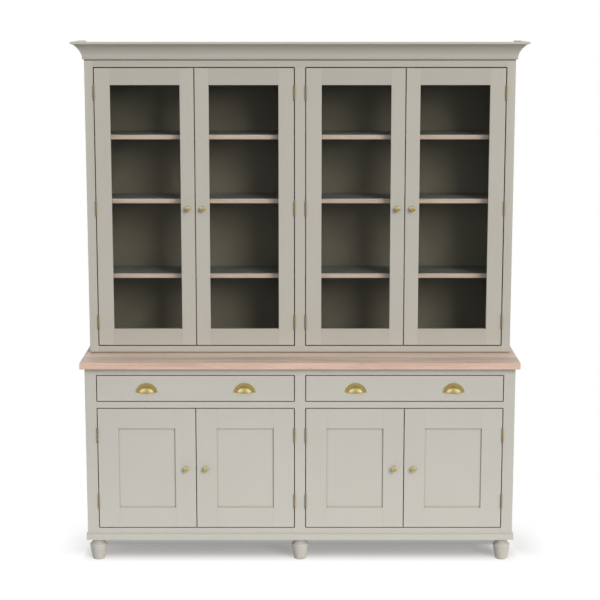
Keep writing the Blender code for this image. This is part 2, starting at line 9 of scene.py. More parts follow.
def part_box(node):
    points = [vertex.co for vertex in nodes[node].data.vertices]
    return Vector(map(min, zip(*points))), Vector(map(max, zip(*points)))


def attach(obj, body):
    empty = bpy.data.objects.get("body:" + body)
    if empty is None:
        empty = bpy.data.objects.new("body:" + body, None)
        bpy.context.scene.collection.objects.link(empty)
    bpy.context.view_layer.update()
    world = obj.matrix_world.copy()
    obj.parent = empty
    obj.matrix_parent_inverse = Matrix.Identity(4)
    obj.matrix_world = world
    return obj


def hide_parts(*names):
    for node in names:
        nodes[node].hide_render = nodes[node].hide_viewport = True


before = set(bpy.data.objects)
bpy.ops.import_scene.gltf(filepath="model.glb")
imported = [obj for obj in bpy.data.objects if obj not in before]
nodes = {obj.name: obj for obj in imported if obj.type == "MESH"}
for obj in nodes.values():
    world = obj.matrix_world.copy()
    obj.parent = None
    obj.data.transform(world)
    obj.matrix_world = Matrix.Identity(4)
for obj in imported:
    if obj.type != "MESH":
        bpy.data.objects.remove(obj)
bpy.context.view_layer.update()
scene = bpy.context.scene

# Where the joinery stands, in metres, as in the fixed frame
dresser = {
    "backY": 0.25, "insideBackY": 0.241, "boardThickness": 0.02, "frameThickness": 0.022,
    "gap": 0.0025, "mullion": 0.0465, "seat": 0.0003,
    "baseHalf": 0.9325, "baseFaceY": -0.226, "baseStile": 0.0495,
    "rackHalf": 0.931, "rackFaceY": -0.025, "rackStile": 0.038,
    "carcassZ": 0.127, "cupboardZ": (0.152, 0.692), "drawerZ": (0.7205, 0.8385), "worktopZ": 0.868,
    "rackZ": 0.897, "glazedZ": (0.9275, 2.152), "topBoardZ": 2.16, "rackTopZ": 2.205,
}
seat, thick, frameThick = dresser["seat"], dresser["boardThickness"], dresser["frameThickness"]
baseHalf, baseY, rackHalf, rackY = (dresser[key] for key in "baseHalf baseFaceY rackHalf rackFaceY".split())
wallY, gapHalf, mullionHalf = dresser["backY"], dresser["gap"] / 2, dresser["mullion"] / 2
baseOpenX, rackOpenX = baseHalf - dresser["baseStile"], rackHalf - dresser["rackStile"]
sides = (("left", -1), ("right", 1))


# Nodes

# A node's output: arithmetic on it adds Math nodes to its tree
class Wire:
    def __init__(self, socket):
        self.socket = socket
        self.tree = socket.id_data

    def __add__(self, other):
        return calc("ADD", self, other)

    def __sub__(self, other):
        return calc("SUBTRACT", self, other)

    def __rsub__(self, other):
        return calc("SUBTRACT", other, self)

    def __mul__(self, other):
        return calc("MULTIPLY", self, other)

    def __truediv__(self, other):
        return calc("DIVIDE", self, other)


class Outputs:
    def __init__(self, node):
        self.node = node

    def __getitem__(self, label):
        return Wire(self.node.outputs[label])


def feed(socket, value):
    if isinstance(value, Wire):
        value.tree.links.new(value.socket, socket)
    else:
        socket.default_value = value


def addNode(tree, kind, values=None, **settings):
    node = tree.nodes.new(kind)
    for setting, choice in settings.items():
        setattr(node, setting, choice)
    for label, value in (values or {}).items():
        feed(node.inputs[label], value)
    return Outputs(node)


# A node whose first inputs are the values in turn, in the tree of the first wire among them
def chain(kind, *values, **settings):
    tree = next(value.tree for value in values if isinstance(value, Wire))
    return addNode(tree, kind, dict(enumerate(values)), **settings)


def calc(operation, *values):
    return chain("ShaderNodeMath", *values, operation=operation)[0]


def measure(operation, *vectors):
    return chain("ShaderNodeVectorMath", *vectors, operation=operation)["Value"]


def joined(x, y, z):
    return chain("ShaderNodeCombineXYZ", x, y, z)[0]


def apart(vector):
    return chain("ShaderNodeSeparateXYZ", vector)


def spread(value, fromLow, fromHigh, toLow=0.0, toHigh=1.0):
    return chain("ShaderNodeMapRange", value, fromLow, fromHigh, toLow, toHigh)[0]


def noiseAt(vector, scale, detail=2.0, rough=0.5):
    values = {"Vector": vector, "Scale": scale, "Detail": detail, "Roughness": rough}
    return addNode(vector.tree, "ShaderNodeTexNoise", values)["Fac"]


def blendColour(share, first, second):
    return addNode(share.tree, "ShaderNodeMix", {0: share, 6: first, 7: second}, data_type="RGBA")[2]


def useGroup(tree, group, values):
    return addNode(tree, "ShaderNodeGroup", values, node_tree=group)


def objectSpot(tree):
    return addNode(tree, "ShaderNodeTexCoord")["Object"]


# Makes a node group of a function that takes its tree and inputs and gives its outputs in turn.
# A socket is given by its type or by its usual value.
def nodeGroup(inputs, outputs, kind="ShaderNodeTree"):
    def build(rule):
        tree = bpy.data.node_groups.new(rule.__name__, kind)
        for way, sockets in (("INPUT", inputs), ("OUTPUT", outputs)):
            for label, value in sockets.items():
                typed = value if isinstance(value, str) else type(value).__name__.capitalize()
                socket = tree.interface.new_socket(label, in_out=way, socket_type=f"NodeSocket{typed}")
                if typed != value:
                    socket.default_value = value
        given = Outputs(tree.nodes.new("NodeGroupInput"))
        out = tree.nodes.new("NodeGroupOutput").inputs
        for socket, value in zip(out, rule(tree, given)):
            feed(socket, value)
        return tree
    return build


# Shader groups: brush strokes, painted edge highlights, painted shade in corners, handling marks and oak
# grain

@nodeGroup({"Vector": "Vector", "Along": 3.0, "Across": 260.0}, {"Tone": "Float", "Height": "Float"})
def brushStrokes(tree, given):
    x, y, z = apart(given["Vector"])
    across = [side * given["Across"] for side in (y, z)]
    bristles = noiseAt(joined(x * given["Along"], *across), 1.0, 3.0, 0.55)
    cloud = noiseAt(given["Vector"], 3.2)
    return bristles * 0.45 + cloud * 0.55, bristles


# painted highlight: a mask of the rounded edges, in patches
@nodeGroup({"Reach": 0.002, "Patchiness": 0.4}, {"Mask": "Float"})
def softEdge(tree, given):
    rounded = addNode(tree, "ShaderNodeBevel", {"Radius": given["Reach"]}, samples=4)[0]
    facing = measure("DOT_PRODUCT", rounded, addNode(tree, "ShaderNodeNewGeometry")["Normal"])
    patches = spread(noiseAt(objectSpot(tree), 34.0, 3.0), 0.35, 0.62)
    return [spread(facing, 0.995, 0.86) * (1.0 - given["Patchiness"] * (1.0 - patches))]


# painted shade: a mask of corners and creases, from ambient occlusion
@nodeGroup({"Reach": 0.012}, {"Mask": "Float"})
def crevice(tree, given):
    openness = addNode(tree, "ShaderNodeAmbientOcclusion", {"Distance": given["Reach"]}, samples=8)["AO"]
    return [spread(openness, 0.93, 0.30)]


@nodeGroup({"Vector": "Vector", "Scale": 30.0}, {"Smudges": "Float", "Fine": "Float"})
def handling(tree, given):
    soft = noiseAt(given["Vector"], given["Scale"], 3.0, 0.6)
    return spread(soft, 0.38, 0.66), noiseAt(given["Vector"], given["Scale"] * 22.0)


@nodeGroup({"Vector": "Vector", "Stave Width": 0.11, "Figure": 30.0, "Seed": 0.0},
           {"Tone": "Float", "Pores": "Float", "Height": "Float"})
def oakGrain(tree, given):
    x, y, z = apart(given["Vector"])
    shift = calc("FLOOR", y / given["Stave Width"]) * 7.31 + given["Seed"]
    along = x + shift
    sway = noiseAt(joined(along * 1.6, y * 7.0, z), 1.0) * 2.6

    def streaks(lengthwise, crosswise, detail):
        across = [side * crosswise + sway for side in (y, z)]
        return noiseAt(joined(along * lengthwise, *across), 1.0, detail, 0.62)

    figure = streaks(1.6, given["Figure"], 4.0)
    fibre = streaks(9.0, 330.0, 2.0)
    pores = spread(streaks(30.0, 760.0, 1.0), 0.60, 0.72)
    staveTone = addNode(tree, "ShaderNodeTexWhiteNoise", {"W": shift}, noise_dimensions="1D")["Value"]
    return figure * 0.62 + fibre * 0.2 + staveTone * 0.18, pores, fibre - pores


# Finishes

def startFinish(name, look):
    material = bpy.data.materials.new(name)
    material.use_nodes = True
    tree = material.node_tree
    shader = tree.nodes["Principled BSDF"].inputs
    for label, key, usual in (("Metallic", "metallic", 0.0), ("IOR", "ior", 1.45),
                              ("Specular IOR Level", "gloss", 0.5)):
        shader[label].default_value = look.get(key, usual)
    return material, tree, shader


# The pattern's X runs along the board
def spotOn(tree, along):
    turn = {"x": (0, 0, 0), "y": (0, 0, math.pi / 2), "z": (0, math.pi / 2, 0)}[along]
    return addNode(tree, "ShaderNodeMapping", {"Vector": objectSpot(tree), "Rotation": turn})[0]


def coat(shader, colour, roughness, height, depth, strength=0.5):
    bump = addNode(colour.tree, "ShaderNodeBump", {"Height": height, "Distance": depth, "Strength": strength})
    for label, value in (("Base Color", colour), ("Roughness", roughness), ("Normal", bump[0])):
        feed(shader[label], value)


# Smudges and fine marks that the look's scale sets out
def handled(tree, look, spot):
    return useGroup(tree, handling, {"Vector": spot, "Scale": look["markScale"]})


# The colour with a lighter one along its edges: a painted highlight
def rubbedEdges(tree, look, colour, bare):
    edge = useGroup(tree, softEdge, {"Reach": look["edgeReach"], "Patchiness": look["patchiness"]})["Mask"]
    return blendColour(edge * look["edgeShow"], colour, bare)


# Painted shade in corners, creases and gaps, darkest where ambient occlusion is deepest, where the look has
# any
def grimed(tree, look, colour, dirt):
    if "creviceShow" not in look:
        return colour
    corners = useGroup(tree, crevice, {"Reach": look["creviceReach"]})["Mask"]
    return blendColour(corners * look["creviceShow"], colour, dirt)


def paintFinish(name, look, along):
    material, tree, shader = startFinish(name, look)
    spot = spotOn(tree, along)
    strokes = useGroup(tree, brushStrokes, {"Vector": spot, "Across": look["strokesPerMetre"]})
    marks = handled(tree, look, spot)["Smudges"]
    fresh = blendColour(spread(strokes["Tone"], *look["tones"]), look["shade"], look["colour"])
    withHighlight = rubbedEdges(tree, look, fresh, look["edgeColour"])
    withShade = grimed(tree, look, withHighlight, look["creviceColour"])
    # painted shade: darker towards the floor, in patches
    if "scuffHeight" in look:
        height = apart(objectSpot(tree))[2]
        low = spread(height, look["scuffHeight"], 0.0) * look["scuffShow"]
        withShade = blendColour(low * spread(marks, 0.0, 1.0, *look["scuffSpread"]), withShade, look["scuffColour"])
    coat(shader, withShade, marks * look["markRough"] + look["roughness"], strokes["Height"], look["strokeDepth"])
    return material


def oakFinish(name, look, along, seed=0.0):
    material, tree, shader = startFinish(name, look)
    sawn = {"Vector": spotOn(tree, along), "Stave Width": look["staveWidth"], "Figure": look["figure"]}
    grain = useGroup(tree, oakGrain, dict(sawn, Seed=seed))
    ramp = addNode(tree, "ShaderNodeValToRGB", {"Fac": grain["Tone"]})
    stops = ramp.node.color_ramp.elements
    stops[0].position, stops[0].color = look["stops"][0], look["dark"]
    stops[1].position, stops[1].color = look["stops"][2], look["light"]
    stops.new(look["stops"][1]).color = look["middle"]
    pored = blendColour(grain["Pores"] * look["poreShow"], ramp["Color"], look["pore"])
    withHighlight = rubbedEdges(tree, look, pored, look["light"])
    withShade = grimed(tree, look, withHighlight, look["pore"])
    coat(shader, withShade, grain["Tone"] * look["toneRough"] + look["roughness"], grain["Height"],
         look["grainDepth"])
    return material


def metalFinish(name, look):
    material, tree, shader = startFinish(name, look)
    marks = handled(tree, look, spotOn(tree, "x"))
    smudges = marks["Smudges"]
    skin = blendColour(smudges * look["markShow"], look["colour"], look["dull"])
    withHighlight = rubbedEdges(tree, look, skin, look["bright"])
    coat(shader, withHighlight, smudges * look["markRough"] + look["roughness"], marks["Fine"], look["markDepth"],
         look["markStrength"])
    return material


def glassFinish(name, look):
    material, tree, shader = startFinish(name, look)
    shader["Base Color"].default_value = look["colour"]
    shader["Transmission Weight"].default_value = 1.0
    feed(shader["Roughness"], handled(tree, look, spotOn(tree, "x"))["Smudges"] * look["smudge"])
    # clear glass lets light straight through, so its shadow is faint
    rays = addNode(tree, "ShaderNodeLightPath")
    lightRay = calc("MAXIMUM", rays["Is Shadow Ray"], rays["Is Diffuse Ray"])
    feed(shader["Alpha"], 1.0 - lightRay * look["lightThrough"])
    return material


basePaint = {
    "colour": (0.574, 0.556, 0.504, 1), "shade": (0.549, 0.531, 0.480, 1),
    "edgeColour": (0.68, 0.66, 0.59, 1), "edgeShow": 0.5, "edgeReach": 0.0022, "patchiness": 0.35,
    # darker corners, creases and gaps: painted shade
    "creviceColour": (0.16, 0.145, 0.115, 1), "creviceShow": 0.55, "creviceReach": 0.011,
    "roughness": 0.40, "strokesPerMetre": 260.0, "strokeDepth": 0.00005, "tones": (0.3, 0.7),
    "markScale": 14.0, "markRough": 0.07,
}
# the cornice is painted lighter than the rack, standing for light on its cove, with deeper painted shade in
# its creases
corniceLitShadedPaint = dict(basePaint, colour=(0.570, 0.549, 0.484, 1), shade=(0.545, 0.524, 0.461, 1),
                    creviceShow=0.8)
# the rack is painted a shade darker than the base, standing for the dimmer light higher up: painted shade
shadedRackPaint = dict(basePaint, colour=(0.537, 0.514, 0.455, 1), shade=(0.512, 0.489, 0.431, 1),
                 edgeColour=(0.64, 0.62, 0.545, 1))
# the rack's level rails are painted darker still, with more painted shade in their gaps
rackRailShadePaint = dict(shadedRackPaint, colour=(0.505, 0.481, 0.422, 1), shade=(0.481, 0.457, 0.400, 1),
                     creviceShow=0.75)
# the inside is painted dark, standing for the shade inside the cupboards and the rack: painted shade
insideShadePaint = dict(basePaint, colour=(0.136, 0.123, 0.090, 1), shade=(0.120, 0.108, 0.080, 1),
                   edgeColour=(0.20, 0.185, 0.15, 1), edgeShow=0.4, creviceColour=(0.04, 0.036, 0.028, 1),
                   roughness=0.60, strokesPerMetre=240.0, gloss=0.12)
# shelf tops in a darker, cooler grey: painted shade and a painted cool reflection
coolShadedShelfPaint = dict(insideShadePaint, colour=(0.122, 0.130, 0.117, 1), shade=(0.108, 0.115, 0.103, 1))
# feet are painted darker towards the floor, in patches: painted shade
footPaint = dict(basePaint, creviceShow=0.2, creviceReach=0.006, scuffHeight=0.075, scuffShow=0.22,
                 scuffColour=(0.36, 0.335, 0.285, 1), scuffSpread=(0.75, 1.25))
basePaints = {along: paintFinish(f"basePaint_{along}", basePaint, along) for along in "xyz"}
corniceLitShadedPaints = {along: paintFinish(f"cornicePaint_{along}", corniceLitShadedPaint, along) for along in "xy"}
shadedRackPaints = {along: paintFinish(f"rackPaint_{along}", look, along)
              for along, look in (("x", rackRailShadePaint), ("y", shadedRackPaint), ("z", shadedRackPaint))}
insideUpright = paintFinish("insidePaint_z", insideShadePaint, "z")
insideLevel = paintFinish("insidePaint_x", insideShadePaint, "x")
coolShelfTops = paintFinish("shelfPaint_x", coolShadedShelfPaint, "x")
turnedPaint = paintFinish("footPaint", footPaint, "z")

paleOak = {
    "light": (0.820, 0.592, 0.475, 1), "middle": (0.755, 0.532, 0.417, 1), "dark": (0.605, 0.418, 0.320, 1),
    "pore": (0.30, 0.19, 0.13, 1), "poreShow": 0.35, "staveWidth": 0.105, "figure": 30.0,
    "stops": (0.33, 0.50, 0.70), "roughness": 0.42, "toneRough": 0.12, "grainDepth": 0.00012,
    "edgeReach": 0.0016, "patchiness": 0.7, "edgeShow": 0.22,
}
birch = dict(paleOak, light=(0.700, 0.560, 0.400, 1), middle=(0.650, 0.505, 0.345, 1),
             dark=(0.570, 0.425, 0.275, 1), pore=(0.42, 0.30, 0.18, 1), poreShow=0.2, staveWidth=0.2,
             roughness=0.5)
# the shelf lips, behind the glass, in a darker copy of the oak: painted shade
shadedLipOak = dict(paleOak, light=(0.53, 0.42, 0.345, 1), middle=(0.47, 0.367, 0.296, 1),
              dark=(0.38, 0.295, 0.24, 1))
# the worktop's top in a greyer, darker copy of the oak, standing for less light from above and the sheen of
# grazing light, with painted shade where the rack stands on it
topShadeSheenOak = dict(paleOak, light=(0.75, 0.604, 0.507, 1), middle=(0.67, 0.522, 0.427, 1),
              dark=(0.49, 0.382, 0.312, 1), poreShow=0.55, figure=44.0, staveWidth=0.062,
              stops=(0.38, 0.50, 0.62), creviceShow=0.7, creviceReach=0.014)
oakLevel = oakFinish("oiledOak", paleOak, "x")
oakTopShadeSheen = oakFinish("oiledOakTop", topShadeSheenOak, "x")
oakLipShade = oakFinish("paleOakLip", shadedLipOak, "x", 17.0)
birchDeep = oakFinish("birchDeep", birch, "y", 3.0)
birchLevel = oakFinish("birchLevel", birch, "x", 5.0)
birchUpright = oakFinish("birchUpright", birch, "z", 9.0)

brass = {
    "colour": (0.565, 0.462, 0.205, 1), "dull": (0.520, 0.422, 0.180, 1), "bright": (0.67, 0.58, 0.33, 1),
    "metallic": 1.0, "roughness": 0.30, "edgeReach": 0.0007, "patchiness": 0.5, "edgeShow": 0.5,
    "markScale": 40.0, "markShow": 0.6, "markRough": 0.08, "markDepth": 0.00003, "markStrength": 0.35,
}
# the hinges, seen in the gaps, in a darker copy of the brass: painted shade
shadedHingeLook = dict(brass, colour=(0.330, 0.265, 0.125, 1), dull=(0.270, 0.212, 0.095, 1),
                 bright=(0.46, 0.38, 0.20, 1), roughness=0.38, markScale=60.0)
zinc = dict(brass, colour=(0.50, 0.50, 0.48, 1), dull=(0.38, 0.38, 0.37, 1), bright=(0.70, 0.70, 0.68, 1),
            roughness=0.32, markScale=80.0)
satinBrass = metalFinish("satinBrass", brass)
agedBrass = metalFinish("agedBrass", shadedHingeLook)
zincSteel = metalFinish("zincSteel", zinc)
floatGlass = glassFinish("floatGlass", {
    "colour": (0.975, 0.99, 0.98, 1), "smudge": 0.04, "markScale": 9.0, "lightThrough": 0.9, "ior": 1.10,
})
print("finishes mixed")


# Making and fitting pieces

def newPiece(name, source, finishes):
    mesh = bpy.data.meshes.new(name)
    source.to_mesh(mesh)
    source.free()
    for finish in finishes:
        mesh.materials.append(finish)
    return standing(name, mesh)


def standing(name, data):
    made = bpy.data.objects.new(name, data)
    scene.collection.objects.link(made)
    return made


# Turns the modifiers' result into the piece's own mesh
def settle(piece):
    bpy.context.view_layer.update()
    seen = piece.evaluated_get(bpy.context.evaluated_depsgraph_get())
    before = piece.data
    piece.data = bpy.data.meshes.new_from_object(seen)
    piece.data.name = piece.name
    piece.modifiers.clear()
    bpy.data.meshes.remove(before)


def change(piece, kind, **settings):
    modifier = piece.modifiers.new(kind.lower(), kind)
    for setting, choice in settings.items():
        setattr(modifier, setting, choice)
    settle(piece)


def carve(piece, blocks, corner=0.0):
    source = bmesh.new()
    for spans in blocks:
        edges = addBlock(source, *spans)
        if corner:
            upright = [edge for edge in edges if abs((edge.verts[0].co - edge.verts[1].co).y) > 1e-4]
            bmesh.ops.bevel(source, geom=upright, offset=corner, segments=4, profile=0.5, affect="EDGES")
    cutter = newPiece("cutter", source, [])
    change(piece, "BOOLEAN", operation="DIFFERENCE", object=cutter)
    bpy.data.objects.remove(cutter)


def roundOver(piece, width, segments=3):
    change(piece, "BEVEL", width=width, segments=segments, limit_method="ANGLE", angle_limit=math.radians(50))


def smoothBelow(piece, angle):
    piece.data.shade_smooth()
    piece.data.set_sharp_from_angle(angle=math.radians(angle))


# Smooth rounded edges beside flat faces
def dress(piece, sharpAngle=50):
    smoothBelow(piece, sharpAngle)
    change(piece, "WEIGHTED_NORMAL", keep_sharp=True)


def fit(piece, body, slot, *replaced):
    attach(piece, body)
    if replaced:
        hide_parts(*replaced)


def addBlock(source, xSpan, ySpan, zSpan):
    spans = [sorted(span) for span in (xSpan, ySpan, zSpan)]
    centre = Vector([(low + high) / 2 for low, high in spans])
    size = Matrix.Diagonal([high - low for low, high in spans] + [1])
    made = bmesh.ops.create_cube(source, size=1, matrix=Matrix.Translation(centre) @ size)
    return list({edge for vert in made["verts"] for edge in vert.link_edges})


# Makes and fits one block, or several in one piece. other is a second finish with the axis and sign of
# the faces that have it, and turned is how far they have to face that way.
def board(name, spans, finish, slot, *replaced, body="carcass", rounding=0.0008, segments=2, other=None,
          turned=0.9):
    source = bmesh.new()
    for blockSpans in (spans if isinstance(spans, list) else [spans]):
        addBlock(source, *blockSpans)
    piece = newPiece(name, source, [finish])
    roundOver(piece, rounding, segments)
    dress(piece)
    if other:
        otherFinish, axis, sign = other
        piece.data.materials.append(otherFinish)
        for face in piece.data.polygons:
            face.material_index = int(face.normal[axis] * sign > turned)
    fit(piece, body, slot, *replaced)


def spansOf(node):
    low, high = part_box(node)
    return tuple(zip(low, high))


# Joins rows of points with faces; a row of one point closes to it
def joinRows(source, rows, pairs):
    for near, far in zip(rows, rows[1:]):
        for step, after in pairs:
            corners = [near[step % len(near)], far[step % len(far)], far[after % len(far)],
                       near[after % len(near)]]
            source.faces.new(list(dict.fromkeys(corners)))
    bmesh.ops.recalc_face_normals(source, faces=source.faces)


# Turns an outline of (radius, height) points, from the top down, round Z
def turnOutline(source, outline, steps, place=Matrix.Identity(4)):
    turns = [2 * math.pi * step / steps for step in range(steps)]
    rings = [[source.verts.new(place @ Vector((radius * math.cos(turn), radius * math.sin(turn), height)))
              for turn in (turns if radius > 1e-6 else [0])] for radius, height in outline]
    joinRows(source, rings, [(step, (step + 1) % steps) for step in range(steps)])


# A smooth line through each run of points; a point with a third value ends a run sharply
def easedOutline(points, between=5):
    runs, run = [], []
    for point in points:
        run.append(Vector(point[:2]))
        if len(point) > 2 and len(run) > 1:
            runs.append(run)
            run = [run[-1]]
    if len(run) > 1:
        runs.append(run)
    line = [runs[0][0]]
    for run in runs:
        onAxis = run[0].x < 1e-6 and run[1].y != run[0].y
        before = Vector((-run[1].x, run[1].y)) if onAxis else run[0] * 2 - run[1]
        padded = [before, *run, run[-1] * 2 - run[-2]]
        for a, b, c, d in zip(padded, padded[1:], padded[2:], padded[3:]):
            for step in range(1, between + 1):
                t = step / between
                line.append(0.5 * (2 * b + (c - a) * t + (2 * a - 5 * b + 4 * c - d) * t * t
                                   + (3 * b - a - 3 * c + d) * t * t * t))
    return [(max(point.x, 0.0), point.y) for point in line]


def arcPoints(start, end, sag, steps):
    start, end = Vector(start), Vector(end)
    chord = end - start
    radius = (chord.length_squared / 4 + sag * sag) / (2 * sag)
    left = Vector((-chord.y, chord.x)).normalized()
    centre = (start + end) / 2 - left * (radius - sag)
    half = math.asin(chord.length / 2 / radius)
    turns = [half * (2 * step / steps - 1) for step in range(steps + 1)]
    return [tuple(centre + (chord.normalized() * math.sin(turn) + left * math.cos(turn)) * radius)
            for turn in turns]


# Points round an outer corner of an outline: rise is 1 at the foot of a face and -1 at its head
def easedCorner(out, z, ease, rise):
    return [(out - ease, z), (out - ease * 0.3, z + rise * ease * 0.3), (out, z + rise * ease)][::rise]


# Runs an outline of (outward, upward) points past stations of (foot, outward direction)
def runMoulding(source, outline, stations, upward, closed=False):
    rings = [[source.verts.new(Vector(foot) + Vector(outward) * out + Vector(upward) * rise)
              for out, rise in outline] for foot, outward in stations]
    pairs = list(zip(rings, rings[1:])) + ([(rings[-1], rings[0])] if closed else [])
    for near, far in pairs:
        for i in range(len(outline)):
            j = (i + 1) % len(outline)
            source.faces.new((near[i], near[j], far[j], far[i]))
    if not closed:
        source.faces.new(rings[0])
        source.faces.new(rings[-1])
    bmesh.ops.recalc_face_normals(source, faces=source.faces)


# A moulding along one side, the front and the other side
def frontMoulding(name, outline, half, frontY, paints, onReturn, node):
    source = bmesh.new()
    stations = [((-half, wallY, 0), (-1, 0, 0)), ((-half, frontY, 0), (-1, -1, 0)),
                ((half, frontY, 0), (1, -1, 0)), ((half, wallY, 0), (1, 0, 0))]
    runMoulding(source, outline, stations, (0, 0, 1))
    piece = newPiece(name, source, [paints["x"], paints["y"]])
    for face in piece.data.polygons:
        face.material_index = int(onReturn(face))
    dress(piece, 35)
    fit(piece, "carcass", "painted_wood", node)


# Geometry Nodes: screws, knuckles and pegs set out on points

def rod(width, length, vertices=14, segments=1):
    values = {"Vertices": vertices, "Side Segments": segments, "Radius": width / 2.0, "Depth": length}
    return addNode(width.tree, "GeometryNodeMeshCylinder", values)["Mesh"]


def moved(shape, offset):
    return addNode(shape.tree, "GeometryNodeTransform", {"Geometry": shape, "Translation": offset})[0]


def onPoints(points, shape, **turn):
    values = {"Points": points, "Instance": shape, **turn}
    return addNode(shape.tree, "GeometryNodeInstanceOnPoints", values)[0]


# Stands the shape's Z along each point's aim
def aimed(points, shape):
    aim = addNode(shape.tree, "GeometryNodeInputNamedAttribute", {"Name": "aim"}, data_type="FLOAT_VECTOR")
    turn = addNode(shape.tree, "FunctionNodeAlignRotationToVector", {"Vector": aim["Attribute"]}, axis="Z")
    return onPoints(points, shape, Rotation=turn[0])


def finished(instances, finish):
    real = addNode(instances.tree, "GeometryNodeRealizeInstances", {"Geometry": instances})[0]
    return [addNode(instances.tree, "GeometryNodeSetMaterial", {"Geometry": real, "Material": finish})[0]]


# A node group that sets something out on points, in one finish
def pointsGroup(inputs):
    whole = {"Points": "Geometry", **inputs, "Finish": "Material"}
    return nodeGroup(whole, {"Geometry": "Geometry"}, "GeometryNodeTree")


@pointsGroup({
    "Head Width": 0.006, "Head Height": 0.0008, "Slot Width": 0.0009, "Cross Slot": False, "Seed": 4,
})
def slottedScrews(tree, given):
    width, height = given["Head Width"], given["Head Height"]
    long, deep, lift = width * 0.8, height * 0.9, joined(0.0, 0.0, height * 0.5)
    heads = [rod(width, height)]
    for size in ((long, given["Slot Width"], deep), (given["Slot Width"], long, deep)):
        bar = moved(addNode(tree, "GeometryNodeMeshCube", {"Size": joined(*size)})["Mesh"], lift)
        cut = addNode(tree, "GeometryNodeMeshBoolean", {"Mesh 1": heads[-1], "Mesh 2": bar},
                      operation="DIFFERENCE", solver="EXACT")
        heads.append(cut[0])
    head = addNode(tree, "GeometryNodeSwitch", {
        "Switch": given["Cross Slot"], "False": heads[1], "True": heads[2],
    }, input_type="GEOMETRY")[0]
    spin = addNode(tree, "FunctionNodeRandomValue", {2: 0.0, 3: math.pi, "Seed": given["Seed"]},
                   data_type="FLOAT")["Value"]
    spun = addNode(tree, "GeometryNodeRotateInstances", {
        "Instances": aimed(given["Points"], head), "Rotation": joined(0.0, 0.0, spin), "Local Space": True,
    })[0]
    return finished(spun, given["Finish"])


# A column of knuckles on each point, with their ends eased
@pointsGroup({"Count": 3, "Start": -0.02, "Pitch": 0.026, "Length": 0.0127, "Width": 0.006, "Eased": 0.0004})
def hingeKnuckles(tree, given):
    length, eased = given["Length"], given["Eased"]
    x, y, z = apart(addNode(tree, "GeometryNodeInputPosition")[0])
    atEnd = calc("GREATER_THAN", calc("ABSOLUTE", z), length * 0.4)
    shrink = 1.0 - atEnd * (eased / (given["Width"] / 2.0))
    stretch = atEnd + (1.0 - atEnd) * (3.0 - eased * 6.0 / length)
    place = joined(x * shrink, y * shrink, z * stretch)
    plain = rod(given["Width"], length, 18, 3)
    knuckle = addNode(tree, "GeometryNodeSetPosition", {"Geometry": plain, "Position": place})[0]
    column = addNode(tree, "GeometryNodeMeshLine", {
        "Count": given["Count"], "Start Location": joined(0.0, 0.0, given["Start"]),
        "Offset": joined(0.0, 0.0, given["Pitch"]),
    })[0]
    return finished(onPoints(given["Points"], onPoints(column, knuckle)), given["Finish"])


# A round peg with a collar against the board
@pointsGroup({"Width": 0.005, "Length": 0.009, "Collar Width": 0.0085, "Collar Height": 0.001})
def shelfPegs(tree, given):
    parts = addNode(tree, "GeometryNodeJoinGeometry")
    for width, length in (("Width", "Length"), ("Collar Width", "Collar Height")):
        lift = joined(0.0, 0.0, given[length] / 2.0)
        feed(parts.node.inputs[0], moved(rod(given[width], given[length]), lift))
    return finished(aimed(given["Points"], parts[0]), given["Finish"])


# The same object set on each point
@pointsGroup({"Shape": "Object"})
def repeatedPieces(tree, given):
    shape = addNode(tree, "GeometryNodeObjectInfo", {"Object": given["Shape"]})["Geometry"]
    return finished(aimed(given["Points"], shape), given["Finish"])


# points are (place, aim) pairs
def setOut(name, tree, points, values, body, slot, *replaced, smooth=40):
    mesh = bpy.data.meshes.new(name)
    mesh.from_pydata([place for place, _ in points], [], [])
    aim = mesh.attributes.new("aim", "FLOAT_VECTOR", "POINT")
    aim.data.foreach_set("vector", [part for _, direction in points for part in direction])
    piece = standing(name, mesh)
    nodesOn = piece.modifiers.new(tree.name, "NODES")
    nodesOn.node_group = tree
    for item in tree.interface.items_tree:
        if item.in_out == "INPUT" and item.name in values:
            nodesOn[item.identifier] = values[item.name]
    settle(piece)
    smoothBelow(piece, smooth)
    fit(piece, body, slot, *replaced)


# size is a screw's head width, head height and slot width
def driveScrews(name, points, size, body, finish=zincSteel):
    setOut(name, slottedScrews, points, {
        "Head Width": size[0], "Head Height": size[1], "Slot Width": size[2],
        "Cross Slot": finish == zincSteel, "Finish": finish,
    }, body, "satin_brass", smooth=30)


def repeatTurned(name, outline, steps, finish, points, slot, *replaced, smooth=40):
    source = bmesh.new()
    turnOutline(source, outline, steps)
    shape = newPiece("shape", source, [finish])
    setOut(name, repeatedPieces, points, {"Shape": shape, "Finish": finish}, "carcass", slot, *replaced,
           smooth=smooth)
    bpy.data.objects.remove(shape)


# Feet, plinth and base carcass

foot = {
    "steps": 56, "between": 4, "sideX": 0.892, "frontY": -0.181, "backY": 0.205,
    # radius, height and a mark where the outline turns sharply
    "outline": [
        (0, 0.0977, 1), (0.0362, 0.0977, 1), (0.0367, 0.0972), (0.0368, 0.0945), (0.0364, 0.0917),
        (0.0350, 0.0900), (0.0318, 0.0894, 1), (0.0262, 0.0880), (0.0248, 0.0852), (0.0250, 0.0818),
        (0.0268, 0.0780), (0.0300, 0.0744), (0.0334, 0.0718, 1), (0.0330, 0.0704, 1), (0.0352, 0.0694),
        (0.0370, 0.0676), (0.0374, 0.0655), (0.0371, 0.0620), (0.0362, 0.0550), (0.0338, 0.0405),
        (0.0310, 0.0255), (0.0287, 0.0110), (0.0275, 0.0045), (0.0262, 0.0012), (0.0242, 0.0, 1), (0, 0, 1),
    ],
}
footSpots = [((x, y, 0), (0, 0, 1)) for y in (foot["frontY"], foot["backY"])
             for x in (-foot["sideX"], 0, foot["sideX"])]
